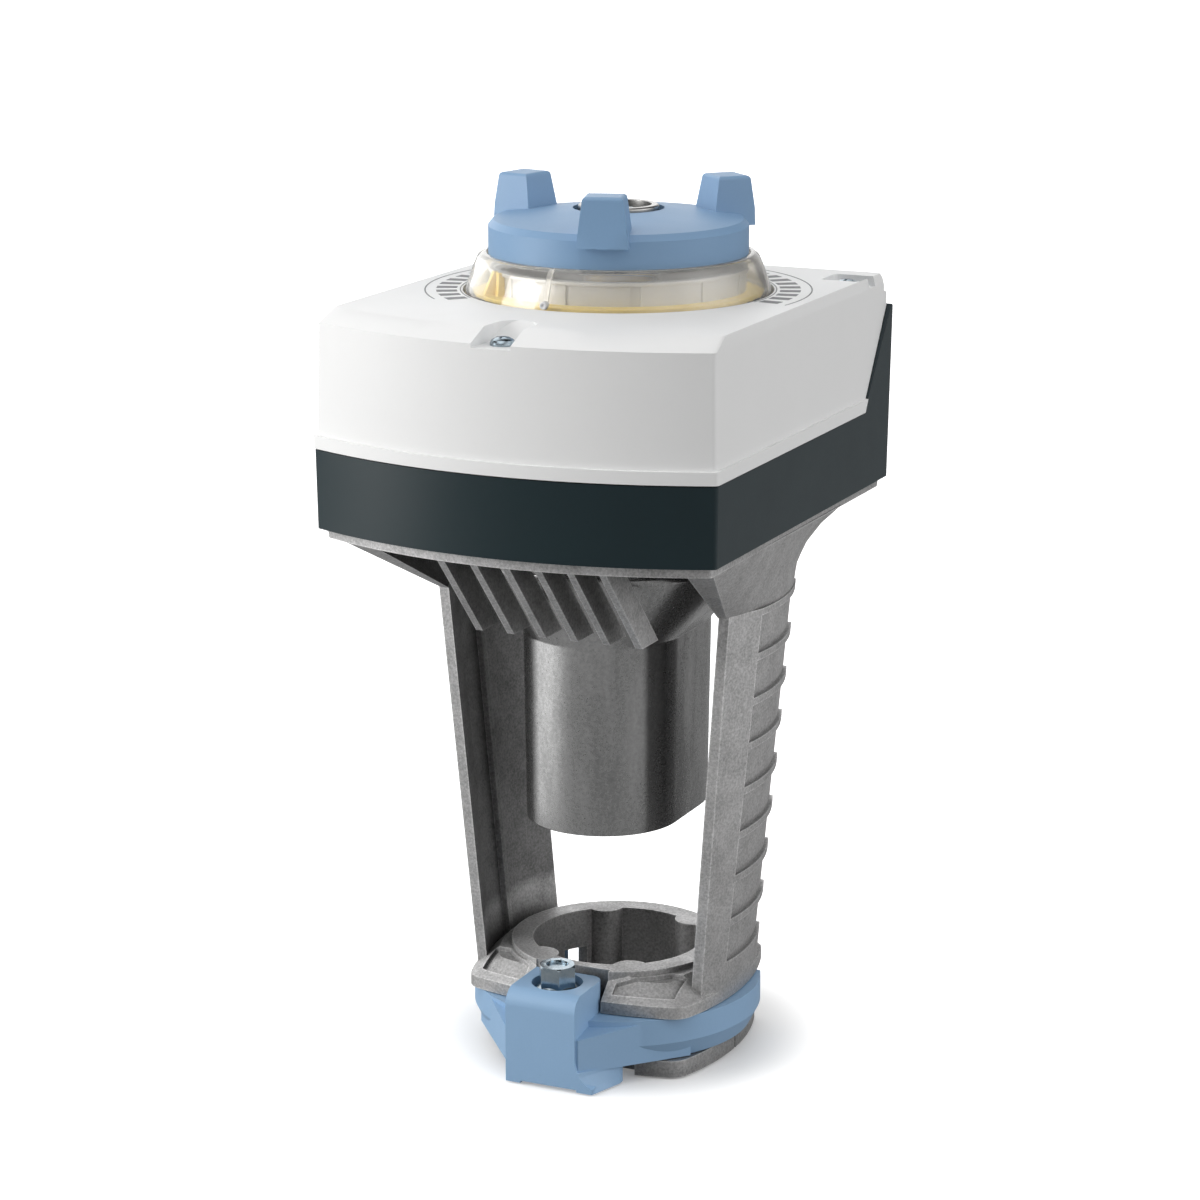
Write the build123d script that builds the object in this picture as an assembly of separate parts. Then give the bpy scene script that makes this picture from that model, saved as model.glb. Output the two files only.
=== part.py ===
from build123d import *
import math
import os

# Electric valve actuator: a die-cast yoke clamps onto the valve neck, a plastic
# housing with the gear train stands on it, and a threaded spindle pushes the valve stem.
# Origin: centre of the neck bore at the underside of the collar, +Z up along the spindle.

# Housing outline, seen from above
housing_width = 124.0
front_corner_y = -72.6
front_bow = 13.3
back_y = 64.3
corner_radius = 1.6
housing_wall = 2.5

# Heights of the main levels
plate_bottom = 163.5
plate_thickness = 3.0
floor_thickness = 3.0
rim_height = 22.9
cover_height = 39.5
cover_top_wall = 2.3
cover_wall = 2.2
back_wall_height = 52.9
seam_gap = 0.12
base_bottom = plate_bottom + plate_thickness
floor_top = base_bottom + floor_thickness
rim_top = base_bottom + rim_height
cover_bottom = rim_top + 0.4
cover_top = cover_bottom + cover_height - 0.4
back_wall_top = base_bottom + back_wall_height
cover_underside = cover_top - cover_top_wall

# Draft and chamfers of the moulded shells
base_draft = 0.7
cover_side_inset = 1.0
cover_top_inset = 1.6
lip_height = 3.7
bevel_height = 3.4
bevel_depth = 10.0
back_step_y = 59.3
back_step_z = 223.7
back_step_fall = 1.3
back_round = 2.4
side_notch = (55.0, 47.0, 52.0, 226.0)
side_step_y = 40.8
side_step_run = 21.0

# Yoke casting
plate_inset = 2.6
column_top_x = 51.9
column_foot_x = 40.4
column_top_z = 141.0
column_half_depth = 26.0
column_foot_front = 21.5
column_sag = 5.5
crease_y = -12.0
crease_sag = 0.8
crown_y = -1.5
column_wall = 3.2
panel_recess = 1.2
panel_front_y = crease_y
panel_rib_count = 9
panel_rib_pitch = 13.7
panel_rib_thickness = 2.3
panel_rib_first_z = 30.4
inner_rib = 2.0
gusset_ledge = 0.7
gusset_foot_wall = 2.8
gusset_top_x = housing_width / 2 - 3.0
gusset_top_front = -68.5
gusset_top_back = 29.0
gusset_top_wall = 8.8
gusset_levels = 4
fin_count = 6
fin_pitch = 10.0
fin_first_x = -20.6
fin_thickness = 2.2
fin_depth = 11.0
fin_drop = 27.5
fin_run = 26.0
fin_top_y = -77.0

# Collar
collar_height = 30.1
neck_radius = 22.1
neck_seat_height = 8.0
collar_bore_radius = 25.7
collar_ring_radius = 32.2
groove_bottom = 5.2
groove_top = 19.0
groove_radius = 31.0
flange_rim_top = 22.6
flange_slope_top = 28.6
flange_half_x = 40.4
flange_half_y = 36.2
flange_corner_x = 34.8
flange_corner_y = 31.2
foot_ring_inset = 1.5
foot_cut_angle = 24.2
foot_cut_reach = 35.2
lobe_radius = 22.4
lobe_angle = 58.0
lobe_round = 5.5
pocket_depth = 1.4
pocket_rim = 2.0
pocket_ring_radius = 33.2
pocket_sides = [(13.2, 31.5), (-31.5, -16.0)]
pocket_front = 20.0
clamp_slit = 0.8
side_slot_width = 8.0
side_slot_angle = 35.0

# Spindle housing: cone, cup and bearing seat
cup_end_radius = 23.1
cup_half_run = 10.0
cup_draft = 0.8
cup_wall = 2.6
cup_bottom = 72.0
cup_ridge_z = 129.0
cup_roof_z = 126.0
neck_height = 13.5
cone_top_z = plate_bottom - neck_height
cone_top_radius = 41.5
cone_rim = 1.6
neck_outer_radius = 36.0
bearing_inner_radius = 15.0
bearing_outer_radius = 27.5
bearing_width = 12.5
running_gap = 0.05
body_gap = 0.3

# Spindle
spindle_radius = 6.0
spindle_bottom = 90.0
spindle_top = 212.0
stroke = 40.0
coupling_bottom = 74.0
coupling_height = 30.0
coupling_radius = 11.0
stem_socket_radius = 5.05
stem_socket_depth = 14.0
guide_thickness = 6.0
guide_bottom = 114.0
guide_width = 16.0
clip_thickness = 1.2
clip_radius = 8.5

# Gear train
drive_teeth = 60
reducer_pinion_teeth = 15
reducer_wheel_teeth = 40
motor_teeth = 12
drive_module = 1.0
dial_module = 1.25
dial_pinion_teeth = 15
dial_wheel_teeth = 40
dial_drive_teeth = 11
dial_gear_teeth = 44
tooth_backlash = 0.09
drive_gear_bottom = 171.0
drive_gear_width = 10.0
reducer_wheel_bottom = 183.0
reducer_wheel_width = 5.0
hub_radius = 11.0
lower_hub_radius = 18.0
axle_radius = 2.5
reducer_angle = -103.4
motor_angle = -153.7
dial_idler_angle = 60.0
gear_plate_bottom = 190.0
gear_plate_thickness = 3.0
bush_radius = 14.0
dial_pinion_bottom = 195.6
dial_pinion_width = 5.0
hub_top = 202.0
dial_plate_bottom = 207.5
dial_plate_thickness = 2.5
dial_gear_bottom = 211.5
dial_gear_width = 4.5
pillar_radius = 3.0
pillar_margin = 3.0
motor_radius = 18.0
motor_height = 22.0
pillar_wall_gap = 16.0
pillar_left_x = pillar_wall_gap - housing_width / 2
pillar_back_x = pillar_left_x + 29.5
pillar_front_x = pillar_left_x + 32.0
pillar_points = [(38.0, 2.0), (46.4, 31.5), (pillar_back_x, 41.0), (pillar_left_x, -14.0)]
front_pillar_point = (pillar_front_x, -68.0)

# Dial and window
window_base_radius = 44.9
opening_gap = 0.4
opening_radius = window_base_radius + opening_gap
window_wall = 1.9
window_shoulder_radius = window_base_radius - 2.9
window_shoulder_z = 236.3
window_top_radius = window_base_radius - 6.0
window_top_z = 240.0
window_mouth_radius = window_top_radius - 0.65
window_flange_radius = window_base_radius + 2.0
window_flange_thickness = 2.5
seal_thickness = 0.3
retainer_radius = window_base_radius + 6.5
retainer_thickness = 1.6
retainer_screw_radius = window_base_radius + 4.3
retainer_boss_radius = 2.3
retainer_head_radius = 2.0
drum_gap = 6.7
drum_radius = window_base_radius - window_wall - drum_gap
drum_wall = 2.0
drum_top = 236.1
drum_floor_bottom = 219.0
drum_hub_radius = 15.5
tube_outer_radius = 12.4
tube_top = 225.5
indicator_top = 229.2
indicator_plate = 1.3
indicator_radius = window_base_radius - window_wall - 1.0
pointer_angle = 228.0
pointer_height = 6.8
pointer_width = 1.6

# Handwheel
wheel_gap = 0.45
wheel_radius = window_mouth_radius - wheel_gap
wheel_bottom = 239.55
wheel_edge_z = 247.7
wheel_top_edge_radius = wheel_radius - 1.5
wheel_top_edge_z = 249.5
wheel_peak_z = 252.5
wheel_hole_radius = 13.3
wheel_wall = 2.2
wheel_press = 3.0
knob_angles = [-72.3, 47.7, 167.7]
knob_inner = wheel_radius - 10.8
knob_outer = wheel_radius + 3.2
knob_foot_drop = 1.6
knob_width = 14.8
knob_top_width = 11.4
knob_top = 260.4
knob_top_inset = 1.6
metal_hub_radius = 11.8
metal_hub_top = 253.6
shaft_radius = 10.0
shaft_bore_radius = 7.0
shaft_bottom = 205.3
spring_coil_radius = 11.6
spring_wire_radius = 0.55
spring_end_pitch = 1.2
spring_open_turns = 2
spring_steps = 12

# Clamp bracket and its bolt
band_clearance = 0.35
band_travel = 1.2
band_end_y = 18.5
band_radius = 43.6
band_foot_radius = 40.8
band_taper_z = 11.0
block_left = -12.6
block_right = 9.7
block_toe_right = 15.3
block_front = -52.3
block_back = -30.9
block_top = 28.4
block_toe_height = 9.0
toe_reach = 19.0
block_round = 5.0
block_back_round = 4.0
ledge_front_z = 15.6
band_facet_x = 34.6
band_facet_y = -24.2
notch_back = -28.9
notch_side_gap = 0.9
bolt_x = -1.5
bolt_y = -40.0
bolt_radius = 3.0
bolt_head_across = 10.0
bolt_head_height = 6.1
bolt_flange_radius = 6.4
bolt_flange_height = 1.4
washer_radius = 7.1
washer_thickness = 1.2
counterbore_radius = 7.6
counterbore_z = 24.9
nut_across = 10.0
nut_bottom = 6.0
nut_height = 5.0

# Fasteners and electrical parts
cover_screw_side = 8.5
back_screw_x = housing_width / 2 - cover_screw_side
cover_screw_points = [(0.0, -76.5, 224.3), (back_screw_x, 46.0, 226.2), (-back_screw_x, 46.0, 226.2)]
pocket_ramp = (-70.5, -62.8)
post_radius = 4.2
screw_radius = 1.9
screw_head_radius = 3.6
screw_head_height = 2.4
pocket_half = 6.0
yoke_screw_points = [(36.0, -60.0), (30.0, 55.5), (-30.0, 55.5), (-36.0, -60.0)]
yoke_screw_radius = 2.5
entry_radius = 10.25
entry_boss_radius = 13.0
entry_boss_depth = 1.5
entry_spacing = 32.0
entry_z = 201.0
board_thickness = 1.6
board_left = 14.0 - housing_width / 2
core_side = 6.0
core_length = 22.0
core_front = -53.0
core_depth = 28.0
core_height = 23.0
core_window = 5.5
core_leg = 6.5
core_middle = 4.0
core_yoke = 4.5
core_right = housing_width / 2 - core_side
core_left = core_right - core_length
board_bottom = 184.0


def block(x0, x1, y0, y1, z0, z1):
    """Box between two corners."""
    size = Box(x1 - x0, y1 - y0, z1 - z0)
    return Pos((x0 + x1) / 2, (y0 + y1) / 2, (z0 + z1) / 2) * size


def disc(radius, z0, z1, x=0.0, y=0.0):
    """Upright cylinder between two heights."""
    return Pos(x, y, (z0 + z1) / 2) * Cylinder(radius, z1 - z0)


def tube(inner, outer, z0, z1, x=0.0, y=0.0):
    """Upright ring between two heights."""
    return disc(outer, z0, z1, x, y) - disc(inner, z0 - 1, z1 + 1, x, y)


def polar(radius, angle):
    """Point at a radius and an angle in degrees."""
    turn = math.radians(angle)
    return (radius * math.cos(turn), radius * math.sin(turn))


def lathe(points):
    """Solid turned about Z from a closed (radius, height) outline."""
    return revolve(Plane.XZ * make_face(Polyline(*points, close=True)), Axis.Z)


def side_prism(points, x0, x1):
    """Prism along X with a closed (y, z) outline."""
    face = Plane.YZ * make_face(Polyline(*points, close=True))
    return Pos(x0, 0, 0) * extrude(face, x1 - x0)


def ruled(lower, upper):
    """Solid between two outlines that lie at different heights."""
    return loft([lower, upper], ruled=True)


def hexagon(across, z0, z1, x=0.0, y=0.0):
    """Upright hexagonal prism, measured across its flats."""
    face = RegularPolygon(across / 2, 6, major_radius=False)
    return Pos(x, y, z0) * extrude(face, z1 - z0)


def housing_face(z, side=0.0, front=0.0, back=0.0, radius=corner_radius):
    """Plan outline of the housing with its bowed front, moved in on each side."""
    half = housing_width / 2 - side
    corner_y = front_corner_y + front
    back_edge = back_y - back
    bow = ThreePointArc((-half, corner_y), (0, corner_y - front_bow), (half, corner_y))
    rest = Polyline((half, corner_y), (half, back_edge), (-half, back_edge), (-half, corner_y))
    face = make_face([bow, rest])
    return Pos(0, 0, z) * fillet(face.vertices(), radius)


def housing_solid(z0, z1, inset0, inset1, radius=corner_radius):
    """Walled block of the housing between two heights, drafted evenly."""
    lower = housing_face(z0, inset0, inset0, inset0, radius)
    upper = housing_face(z1, inset1, inset1, inset1, radius)
    return ruled(lower, upper)


def gear_face(teeth, module):
    """Spur gear outline with involute flanks, first tooth on +X."""
    pitch = teeth * module / 2
    base = pitch * math.cos(math.radians(20))
    root = pitch - 1.25 * module
    tip = pitch + 0.9 * module
    pressure = math.radians(20)
    half_pitch = (math.pi / 2 - math.pi * tooth_backlash) / teeth
    flank = []
    for radius in (max(base, root), (max(base, root) + pitch) / 2, pitch, (pitch + tip) / 2, tip):
        local = math.acos(min(1.0, base / radius))
        half = half_pitch + math.tan(pressure) - pressure - (math.tan(local) - local)
        flank.append((radius, half))
    points = []
    for index in range(teeth):
        centre = 2 * math.pi * index / teeth
        profile = [(root, -flank[0][1])] if root < base else []
        profile += [(radius, -half) for radius, half in flank]
        profile += [(radius, half) for radius, half in reversed(flank)]
        profile += [(root, flank[0][1])] if root < base else []
        for radius, angle in profile:
            points.append((radius * math.cos(centre + angle), radius * math.sin(centre + angle)))
    return make_face(Polyline(*points, close=True))


def gear(teeth, module, z0, z1, x=0.0, y=0.0, turn=0.0):
    """Spur gear as a solid; turn is the angle of its first tooth in degrees."""
    return Pos(x, y, z0) * (Rot(0, 0, turn) * extrude(gear_face(teeth, module), z1 - z0))


def mesh_turn(teeth, turn, mate_teeth, line_angle):
    """Turn of a mating gear that lies along line_angle from the first gear, in degrees."""
    phase = teeth * (line_angle - turn)
    return line_angle + 180.0 - (180.0 - phase) / mate_teeth


def collar_outline(z, inset=0.0):
    """Four shallow arcs with rounded corners: the outline of the collar's flange."""
    half_x = flange_half_x - inset
    half_y = flange_half_y - inset
    corner_x = flange_corner_x - inset
    corner_y = flange_corner_y - inset
    right = ThreePointArc((corner_x, -corner_y), (half_x, 0), (corner_x, corner_y))
    back = ThreePointArc((corner_x, corner_y), (0, half_y), (-corner_x, corner_y))
    left = ThreePointArc((-corner_x, corner_y), (-half_x, 0), (-corner_x, -corner_y))
    front = ThreePointArc((-corner_x, -corner_y), (0, -half_y), (corner_x, -corner_y))
    face = make_face([right, back, left, front])
    return Pos(0, 0, z) * fillet(face.vertices(), 6.5)


def column_outer_x(z):
    """Outer reach of a column at a height."""
    share = (z - groove_top) / (column_top_z - groove_top)
    return column_foot_x + share * (column_top_x - column_foot_x)


def column_sag_at(y):
    """How far the column's outer face falls back at y: flat in front of the crease, curved behind."""
    if y < crease_y:
        share = (crease_y - y) / (crease_y + column_half_depth)
        return crease_sag + share * (column_sag - crease_sag)
    return crease_sag * ((y - crown_y) / (crease_y - crown_y)) ** 2


def column_front(z):
    """Front edge of a column at a height; it runs back towards the foot."""
    share = (z - groove_top) / (column_top_z - groove_top)
    return -column_foot_front - share * (column_half_depth - column_foot_front)


def column_face(z, outer_x, wall, front, back):
    """Cross-section of a column: a flat strip in front and a shallow arc, of even thickness."""
    def point(y, depth=0.0):
        return (outer_x - column_sag_at(y) - depth, y)
    start = max(front, crease_y)
    middle = (start + back) / 2
    edges = [
        ThreePointArc(point(start), point(middle), point(back)),
        Line(point(back), point(back, wall)),
        ThreePointArc(point(back, wall), point(middle, wall), point(start, wall)),
    ]
    if front < start:
        edges += [Polyline(point(start, wall), point(front, wall), point(front), point(start))]
    else:
        edges += [Line(point(start, wall), point(start))]
    return Pos(0, 0, z) * make_face(edges)


def column_shell(z0, z1, wall, back):
    """Tapered column wall between two heights."""
    lower = column_face(z0, column_outer_x(z0), wall, column_front(z0), back)
    upper = column_face(z1, column_outer_x(z1), wall, column_front(z1), back)
    return ruled(lower, upper)


def right_column():
    """One leg of the yoke with its sunk, ribbed outer panel and inner rib."""
    foot = groove_top + 1.0
    leg = column_shell(foot, column_top_z, column_wall, column_half_depth)
    low_face = column_face(foot, column_outer_x(foot) + 2, panel_recess + 2, panel_front_y, 27.0)
    high_face = column_face(column_top_z, column_top_x + 2, panel_recess + 2, panel_front_y, 27.0)
    panel = ruled(low_face, high_face)
    for index in range(panel_rib_count):
        middle = panel_rib_first_z + index * panel_rib_pitch
        low = middle + panel_rib_thickness / 2
        high = middle + panel_rib_pitch - panel_rib_thickness / 2
        if high <= column_top_z:
            leg -= panel & block(0, 70, -40, 40, low, high)
    sink = column_wall - 0.5
    rib_face = column_face(foot, column_outer_x(foot) - sink, inner_rib + 0.5, -1.1, 1.1)
    rib_top = column_face(column_top_z, column_top_x - sink, inner_rib + 0.5, -1.1, 1.1)
    return leg + ruled(rib_face, rib_top)


def gusset_face(share):
    """Cross-section of the flared wall at a share of its height, spreading faster near the top."""
    def between(low, high, curve=1.0):
        return low + (high - low) * share ** curve
    low_x = column_top_x - gusset_ledge
    end_x = low_x - column_sag
    front = (between(end_x, gusset_top_x), between(-column_half_depth, gusset_top_front))
    middle = (between(low_x, gusset_top_x + 0.3, 1.4), between(0.0, -20.0))
    back = (between(end_x, gusset_top_x + 0.4, 2.0), between(column_half_depth, gusset_top_back))
    wall = between(gusset_foot_wall, gusset_top_wall)
    inner = [(x - wall, y) for x, y in (back, middle, front)]
    z = between(column_top_z - 0.5, plate_bottom + 0.5)
    return Pos(0, 0, z) * make_face([
        ThreePointArc(front, middle, back), Line(back, inner[0]), ThreePointArc(*inner),
        Line(inner[2], front)])


def right_gusset():
    """Flared wall from the top of a column out to the edge of the flange plate."""
    faces = [gusset_face(level / gusset_levels) for level in range(gusset_levels + 1)]
    return loft(faces, ruled=True)


def cooling_fins():
    """Slanted fins that hang under the front of the flange plate."""
    outline = [
        (fin_top_y, plate_bottom + 0.5),
        (fin_top_y + fin_run, plate_bottom - fin_drop),
        (fin_top_y + fin_run + fin_depth, plate_bottom - fin_drop),
        (fin_top_y + fin_depth, plate_bottom + 0.5),
    ]
    fins = []
    for index in range(fin_count):
        left = fin_first_x + index * fin_pitch - fin_thickness / 2
        fins.append(side_prism(outline, left, left + fin_thickness))
    return fins


def flange_slope():
    """Sloped top of the collar's flange."""
    return ruled(collar_outline(flange_rim_top), collar_outline(flange_slope_top, 6.6))


def flange_pockets():
    """Shallow pockets sunk in the flange's slope, with raised rims left round them."""
    low = flange_rim_top - pocket_depth
    room = extrude(collar_outline(low, pocket_rim), flange_slope_top + 1 - low)
    room -= Pos(0, 0, -pocket_depth) * flange_slope()
    room -= disc(pocket_ring_radius, low - 1, flange_slope_top + 2)
    pockets = []
    for left, right in pocket_sides:
        pockets.append(room & block(left, right, -45, -pocket_front, low - 1, flange_slope_top + 2))
        pockets.append(room & block(left, right, pocket_front, 45, low - 1, flange_slope_top + 2))
    return pockets


def collar():
    """Collar that seats on the valve neck, grooved for the clamp band."""
    foot_ring = extrude(collar_outline(0, foot_ring_inset), groove_bottom)
    foot_ring -= Rot(0, 0, foot_cut_angle) * block(-70, -foot_cut_reach, -70, 12, -1, groove_bottom + 1)
    flange = extrude(collar_outline(groove_top), flange_rim_top - groove_top)
    body = foot_ring + disc(groove_radius, 0, groove_top + 1) + flange + flange_slope()
    body -= flange_pockets()
    body += disc(collar_ring_radius, groove_top, collar_height)
    body -= disc(neck_radius, -1, neck_seat_height + 1)
    body -= disc(collar_bore_radius, neck_seat_height, collar_height + 1)
    for angle in (lobe_angle, 180 - lobe_angle, 180 + lobe_angle, -lobe_angle):
        x, y = polar(lobe_radius + lobe_round, angle)
        lobe = disc(lobe_round, neck_seat_height - 1, collar_height, x, y)
        body += lobe & disc(groove_radius - 1, 0, collar_height + 1)
    for angle in (side_slot_angle, 180 - side_slot_angle):
        body -= Rot(0, 0, angle) * block(
            lobe_radius, groove_radius + 2, -side_slot_width / 2, side_slot_width / 2,
            neck_seat_height + 3, groove_top - 1)
    slit_top = groove_bottom + 1.3
    body -= block(-50, 50, -clamp_slit / 2, clamp_slit / 2, -1, slit_top)
    notch_left = block_left - notch_side_gap
    notch_right = block_right + notch_side_gap
    body -= block(notch_left, notch_right, -60, notch_back, -1, collar_height + 1)
    body -= block(notch_left, block_toe_right + 5, -60, notch_back, -1, groove_bottom + 0.1)
    return body


def yoke_casting():
    """Die-cast yoke: flange plate, fins, two ribbed columns and the collar."""
    plate = housing_solid(plate_bottom, base_bottom, plate_inset + 0.3, plate_inset)
    side = right_column() + right_gusset()
    body = plate + side + mirror(side, Plane.YZ) + collar()
    body += cooling_fins()
    body -= disc(bearing_outer_radius - 0.5, plate_bottom - 1, base_bottom + 1)
    for x, y in yoke_screw_points:
        body -= disc(yoke_screw_radius + 0.2, plate_bottom - 1, base_bottom + 1, x, y)
    return body


def obround(z, radius, half_run):
    """Outline of two half circles joined by straight sides along Y."""
    right = Line((radius, -half_run), (radius, half_run))
    back = ThreePointArc((radius, half_run), (0, half_run + radius), (-radius, half_run))
    left = Line((-radius, half_run), (-radius, -half_run))
    front = ThreePointArc((-radius, -half_run), (0, -half_run - radius), (radius, -half_run))
    return Pos(0, 0, z) * make_face([right, back, left, front])


def spindle_housing():
    """Cone and long cup under the plate; the cup keeps the spindle from turning."""
    cup = ruled(
        obround(cup_bottom, cup_end_radius, cup_half_run),
        obround(cup_ridge_z, cup_end_radius + cup_draft, cup_half_run))
    cone = ruled(
        obround(cup_ridge_z, cup_end_radius + cup_draft, cup_half_run),
        obround(cone_top_z, cone_top_radius, 0.6))
    rim = extrude(obround(cone_top_z, cone_top_radius, 0.6), cone_rim)
    body = cup + cone + rim + disc(neck_outer_radius, cone_top_z, plate_bottom)
    hollow = extrude(obround(cup_bottom - 1, cup_end_radius - cup_wall, cup_half_run),
                     cup_roof_z - cup_bottom + 1)
    body -= hollow
    seat = plate_bottom - bearing_width
    body -= disc(spindle_radius + 0.5, cup_roof_z - 1, seat)
    body -= disc(10.0, cup_roof_z + 2, cup_roof_z + 5)
    body -= disc(bearing_outer_radius - 4, cup_roof_z + 5, seat)
    body -= disc(bearing_outer_radius, plate_bottom - bearing_width - 0.5, plate_bottom + 1)
    return body


def spindle_seal():
    """Wiper seal round the spindle in the cup's roof."""
    return tube(spindle_radius + running_gap, 10.0, cup_roof_z + 2, cup_roof_z + 5)


def lower_bearing():
    """Ball bearing that carries the drive gear in the spindle housing."""
    top = plate_bottom
    bottom = top - bearing_width
    ring = tube(bearing_inner_radius + 0.03, bearing_outer_radius, bottom, top)
    ring -= tube(bearing_inner_radius + 3, bearing_outer_radius - 3, top - 0.8, top + 1)
    ring -= tube(bearing_inner_radius + 3, bearing_outer_radius - 3, bottom - 1, bottom + 0.8)
    return ring


def base_shell():
    """Dark lower shell with a high back wall, cable entries and screw posts."""
    outer = housing_solid(base_bottom, back_wall_top, base_draft, 0.0)
    keep = side_prism([
        (-100, base_bottom), (-100, rim_top), (side_step_y, rim_top),
        (side_step_y + side_step_run, back_wall_top), (back_y - back_round, back_wall_top),
        (back_y - 0.3 * back_round, back_wall_top - 0.3 * back_round),
        (back_y, back_wall_top - back_round), (100, back_wall_top - back_round), (100, base_bottom)],
        -100, 100)
    inner = housing_solid(
        floor_top, back_wall_top + 5, housing_wall + base_draft, housing_wall, corner_radius / 2)
    body = (outer & keep) - inner
    for x, y, seat in cover_screw_points:
        body += disc(post_radius, base_bottom + 1, seat - 2.5, x, y)
    for x in (-entry_spacing, 0, entry_spacing):
        body += Pos(x, back_y - housing_wall - entry_boss_depth / 2, entry_z) * (
            Rot(90, 0, 0) * Cylinder(entry_boss_radius, entry_boss_depth + 0.4))
    for x in (-entry_spacing, 0, entry_spacing):
        body -= Pos(x, back_y, entry_z) * (Rot(90, 0, 0) * Cylinder(entry_radius, 20))
    body -= disc(bearing_outer_radius + 3, base_bottom - 1, floor_top + 1)
    for x, y, seat in cover_screw_points:
        body -= disc(screw_radius, seat - 18, seat, x, y)
    for x, y in yoke_screw_points:
        body += disc(yoke_screw_radius + 2.5, base_bottom + 1, floor_top + 5, x, y)
    for x, y in yoke_screw_points:
        body -= disc(yoke_screw_radius, base_bottom - 1, floor_top + 3, x, y)
    return body


def gasket_ring(extra=0.0):
    """Closed strip on the rim of the base, in front of the raised back wall."""
    band = extrude(housing_face(rim_top, 1.0 - extra, 1.0 - extra, 1.0 - extra), 0.8 + extra)
    hole = extrude(housing_face(rim_top - 1, 2.2, 2.2, 2.2), 4)
    return (band - hole) & block(-70, 70, -100, side_step_y - 2, rim_top, rim_top + 5)


def back_step(depth):
    """Room over the step at the back of the cover's top, lowered and moved in by a depth."""
    front = back_step_y - depth
    low = back_step_z - depth
    return side_prism([
        (front, low), (front, cover_top + 5), (back_y + 5, cover_top + 5),
        (back_y + 5, low - back_step_fall * 2), (back_y - 1, low - back_step_fall)], -100, 100)


def cover_shell():
    """White cover with a bevelled front top, dial opening and screw pockets."""
    shoulder = cover_top - bevel_height
    lip = housing_solid(cover_bottom, cover_bottom + lip_height, 0.0, 0.1)
    wall = housing_solid(cover_bottom + 1, shoulder, cover_side_inset, cover_top_inset)
    top = ruled(
        housing_face(shoulder, cover_top_inset, cover_top_inset, cover_top_inset),
        housing_face(cover_top, cover_top_inset + 0.9, bevel_depth, cover_top_inset + 3.4))
    inset = cover_wall + cover_side_inset
    inner = housing_solid(cover_bottom - 1, shoulder - 1.0, inset, inset + 0.6, corner_radius / 2)
    roof = ruled(
        housing_face(shoulder - 1.0, inset + 0.6, inset + 0.6, inset + 0.6, corner_radius / 2),
        housing_face(cover_underside, inset + 1.5, bevel_depth + 1.2, inset + 4.0, corner_radius / 2))
    step = back_step(0.0)
    body = lip + wall + top - (inner - back_step(cover_top_wall)) - (roof - back_step(cover_top_wall))
    body -= step
    for x, y, seat in cover_screw_points:
        back = pocket_ramp[1] if y < 0 else y + pocket_half
        well = block(x - pocket_half - 1.5, x + pocket_half + 1.5, y - 9, back + 1.5,
                     seat - 2.5, cover_top)
        body += well & (wall + top)
        if y < 0:
            ramp = side_prism([
                (-100, seat), (pocket_ramp[0], seat), (pocket_ramp[1], cover_top + 0.1),
                (pocket_ramp[1], cover_top + 5), (-100, cover_top + 5)],
                x - pocket_half, x + pocket_half)
            plan = block(x - pocket_half, x + pocket_half, -100, back - pocket_half, seat - 1, cover_top + 5)
            plan += disc(pocket_half, seat - 1, cover_top + 5, x, back - pocket_half)
            body -= ramp & plan
        else:
            pocket = block(x - pocket_half, x + pocket_half, y - pocket_half, y + pocket_half,
                           seat, cover_top + 1)
            body -= fillet(pocket.edges().filter_by(Axis.Z), 1.5)
        body -= disc(screw_radius + 0.3, seat - 5, cover_top, x, y)
    notch_x, notch_front, notch_back, notch_z = side_notch
    body -= block(notch_x, 70, notch_front, notch_back, notch_z, cover_top + 1)
    body -= block(-70, -notch_x, notch_front, notch_back, notch_z, cover_top + 1)
    for angle in (90, 210, 330):
        x, y = polar(retainer_screw_radius, angle)
        body += disc(retainer_boss_radius, window_flange_bottom(), cover_underside + 0.5, x, y)
        body -= disc(1.2, window_flange_bottom() - 1, cover_underside + 0.2, x, y)
    body -= disc(opening_radius, cover_underside - 1, cover_top + 1)
    body -= side_prism([
        (side_step_y - seam_gap, cover_bottom - 5), (side_step_y - seam_gap, rim_top),
        (side_step_y + side_step_run - seam_gap, back_wall_top + seam_gap),
        (100, back_wall_top + seam_gap), (100, cover_bottom - 5)], -100, 100)
    return body - gasket_ring(0.05)


def window_flange_bottom():
    """Underside of the window's flange, below the cover's roof and the seal."""
    return cover_underside - seal_thickness - window_flange_thickness


def cover_screws():
    """Three dome-headed screws that hold the cover to the base."""
    screws = []
    for x, y, seat in cover_screw_points:
        shank = disc(screw_radius, seat - 16, seat, x, y)
        head = Pos(x, y, 0) * lathe([
            (0, seat), (screw_head_radius, seat), (screw_head_radius, seat + 0.7),
            (screw_head_radius - 0.5, seat + 1.5), (screw_head_radius - 1.6, seat + 2.1),
            (0, seat + screw_head_height)])
        slot_z = seat + screw_head_height
        cross = block(x - 2, x + 2, y - 0.4, y + 0.4, slot_z - 1.2, slot_z + 1)
        cross += block(x - 0.4, x + 0.4, y - 2, y + 2, slot_z - 1.2, slot_z + 1)
        screws.append(shank + head - cross)
    return screws


def yoke_screws():
    """Four screws from under the flange plate into the base."""
    screws = []
    for x, y in yoke_screw_points:
        shank = disc(yoke_screw_radius, plate_bottom, floor_top + 2, x, y)
        head = hexagon(8.0, plate_bottom - 3, plate_bottom, x, y)
        screws.append(shank + head)
    return screws


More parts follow.
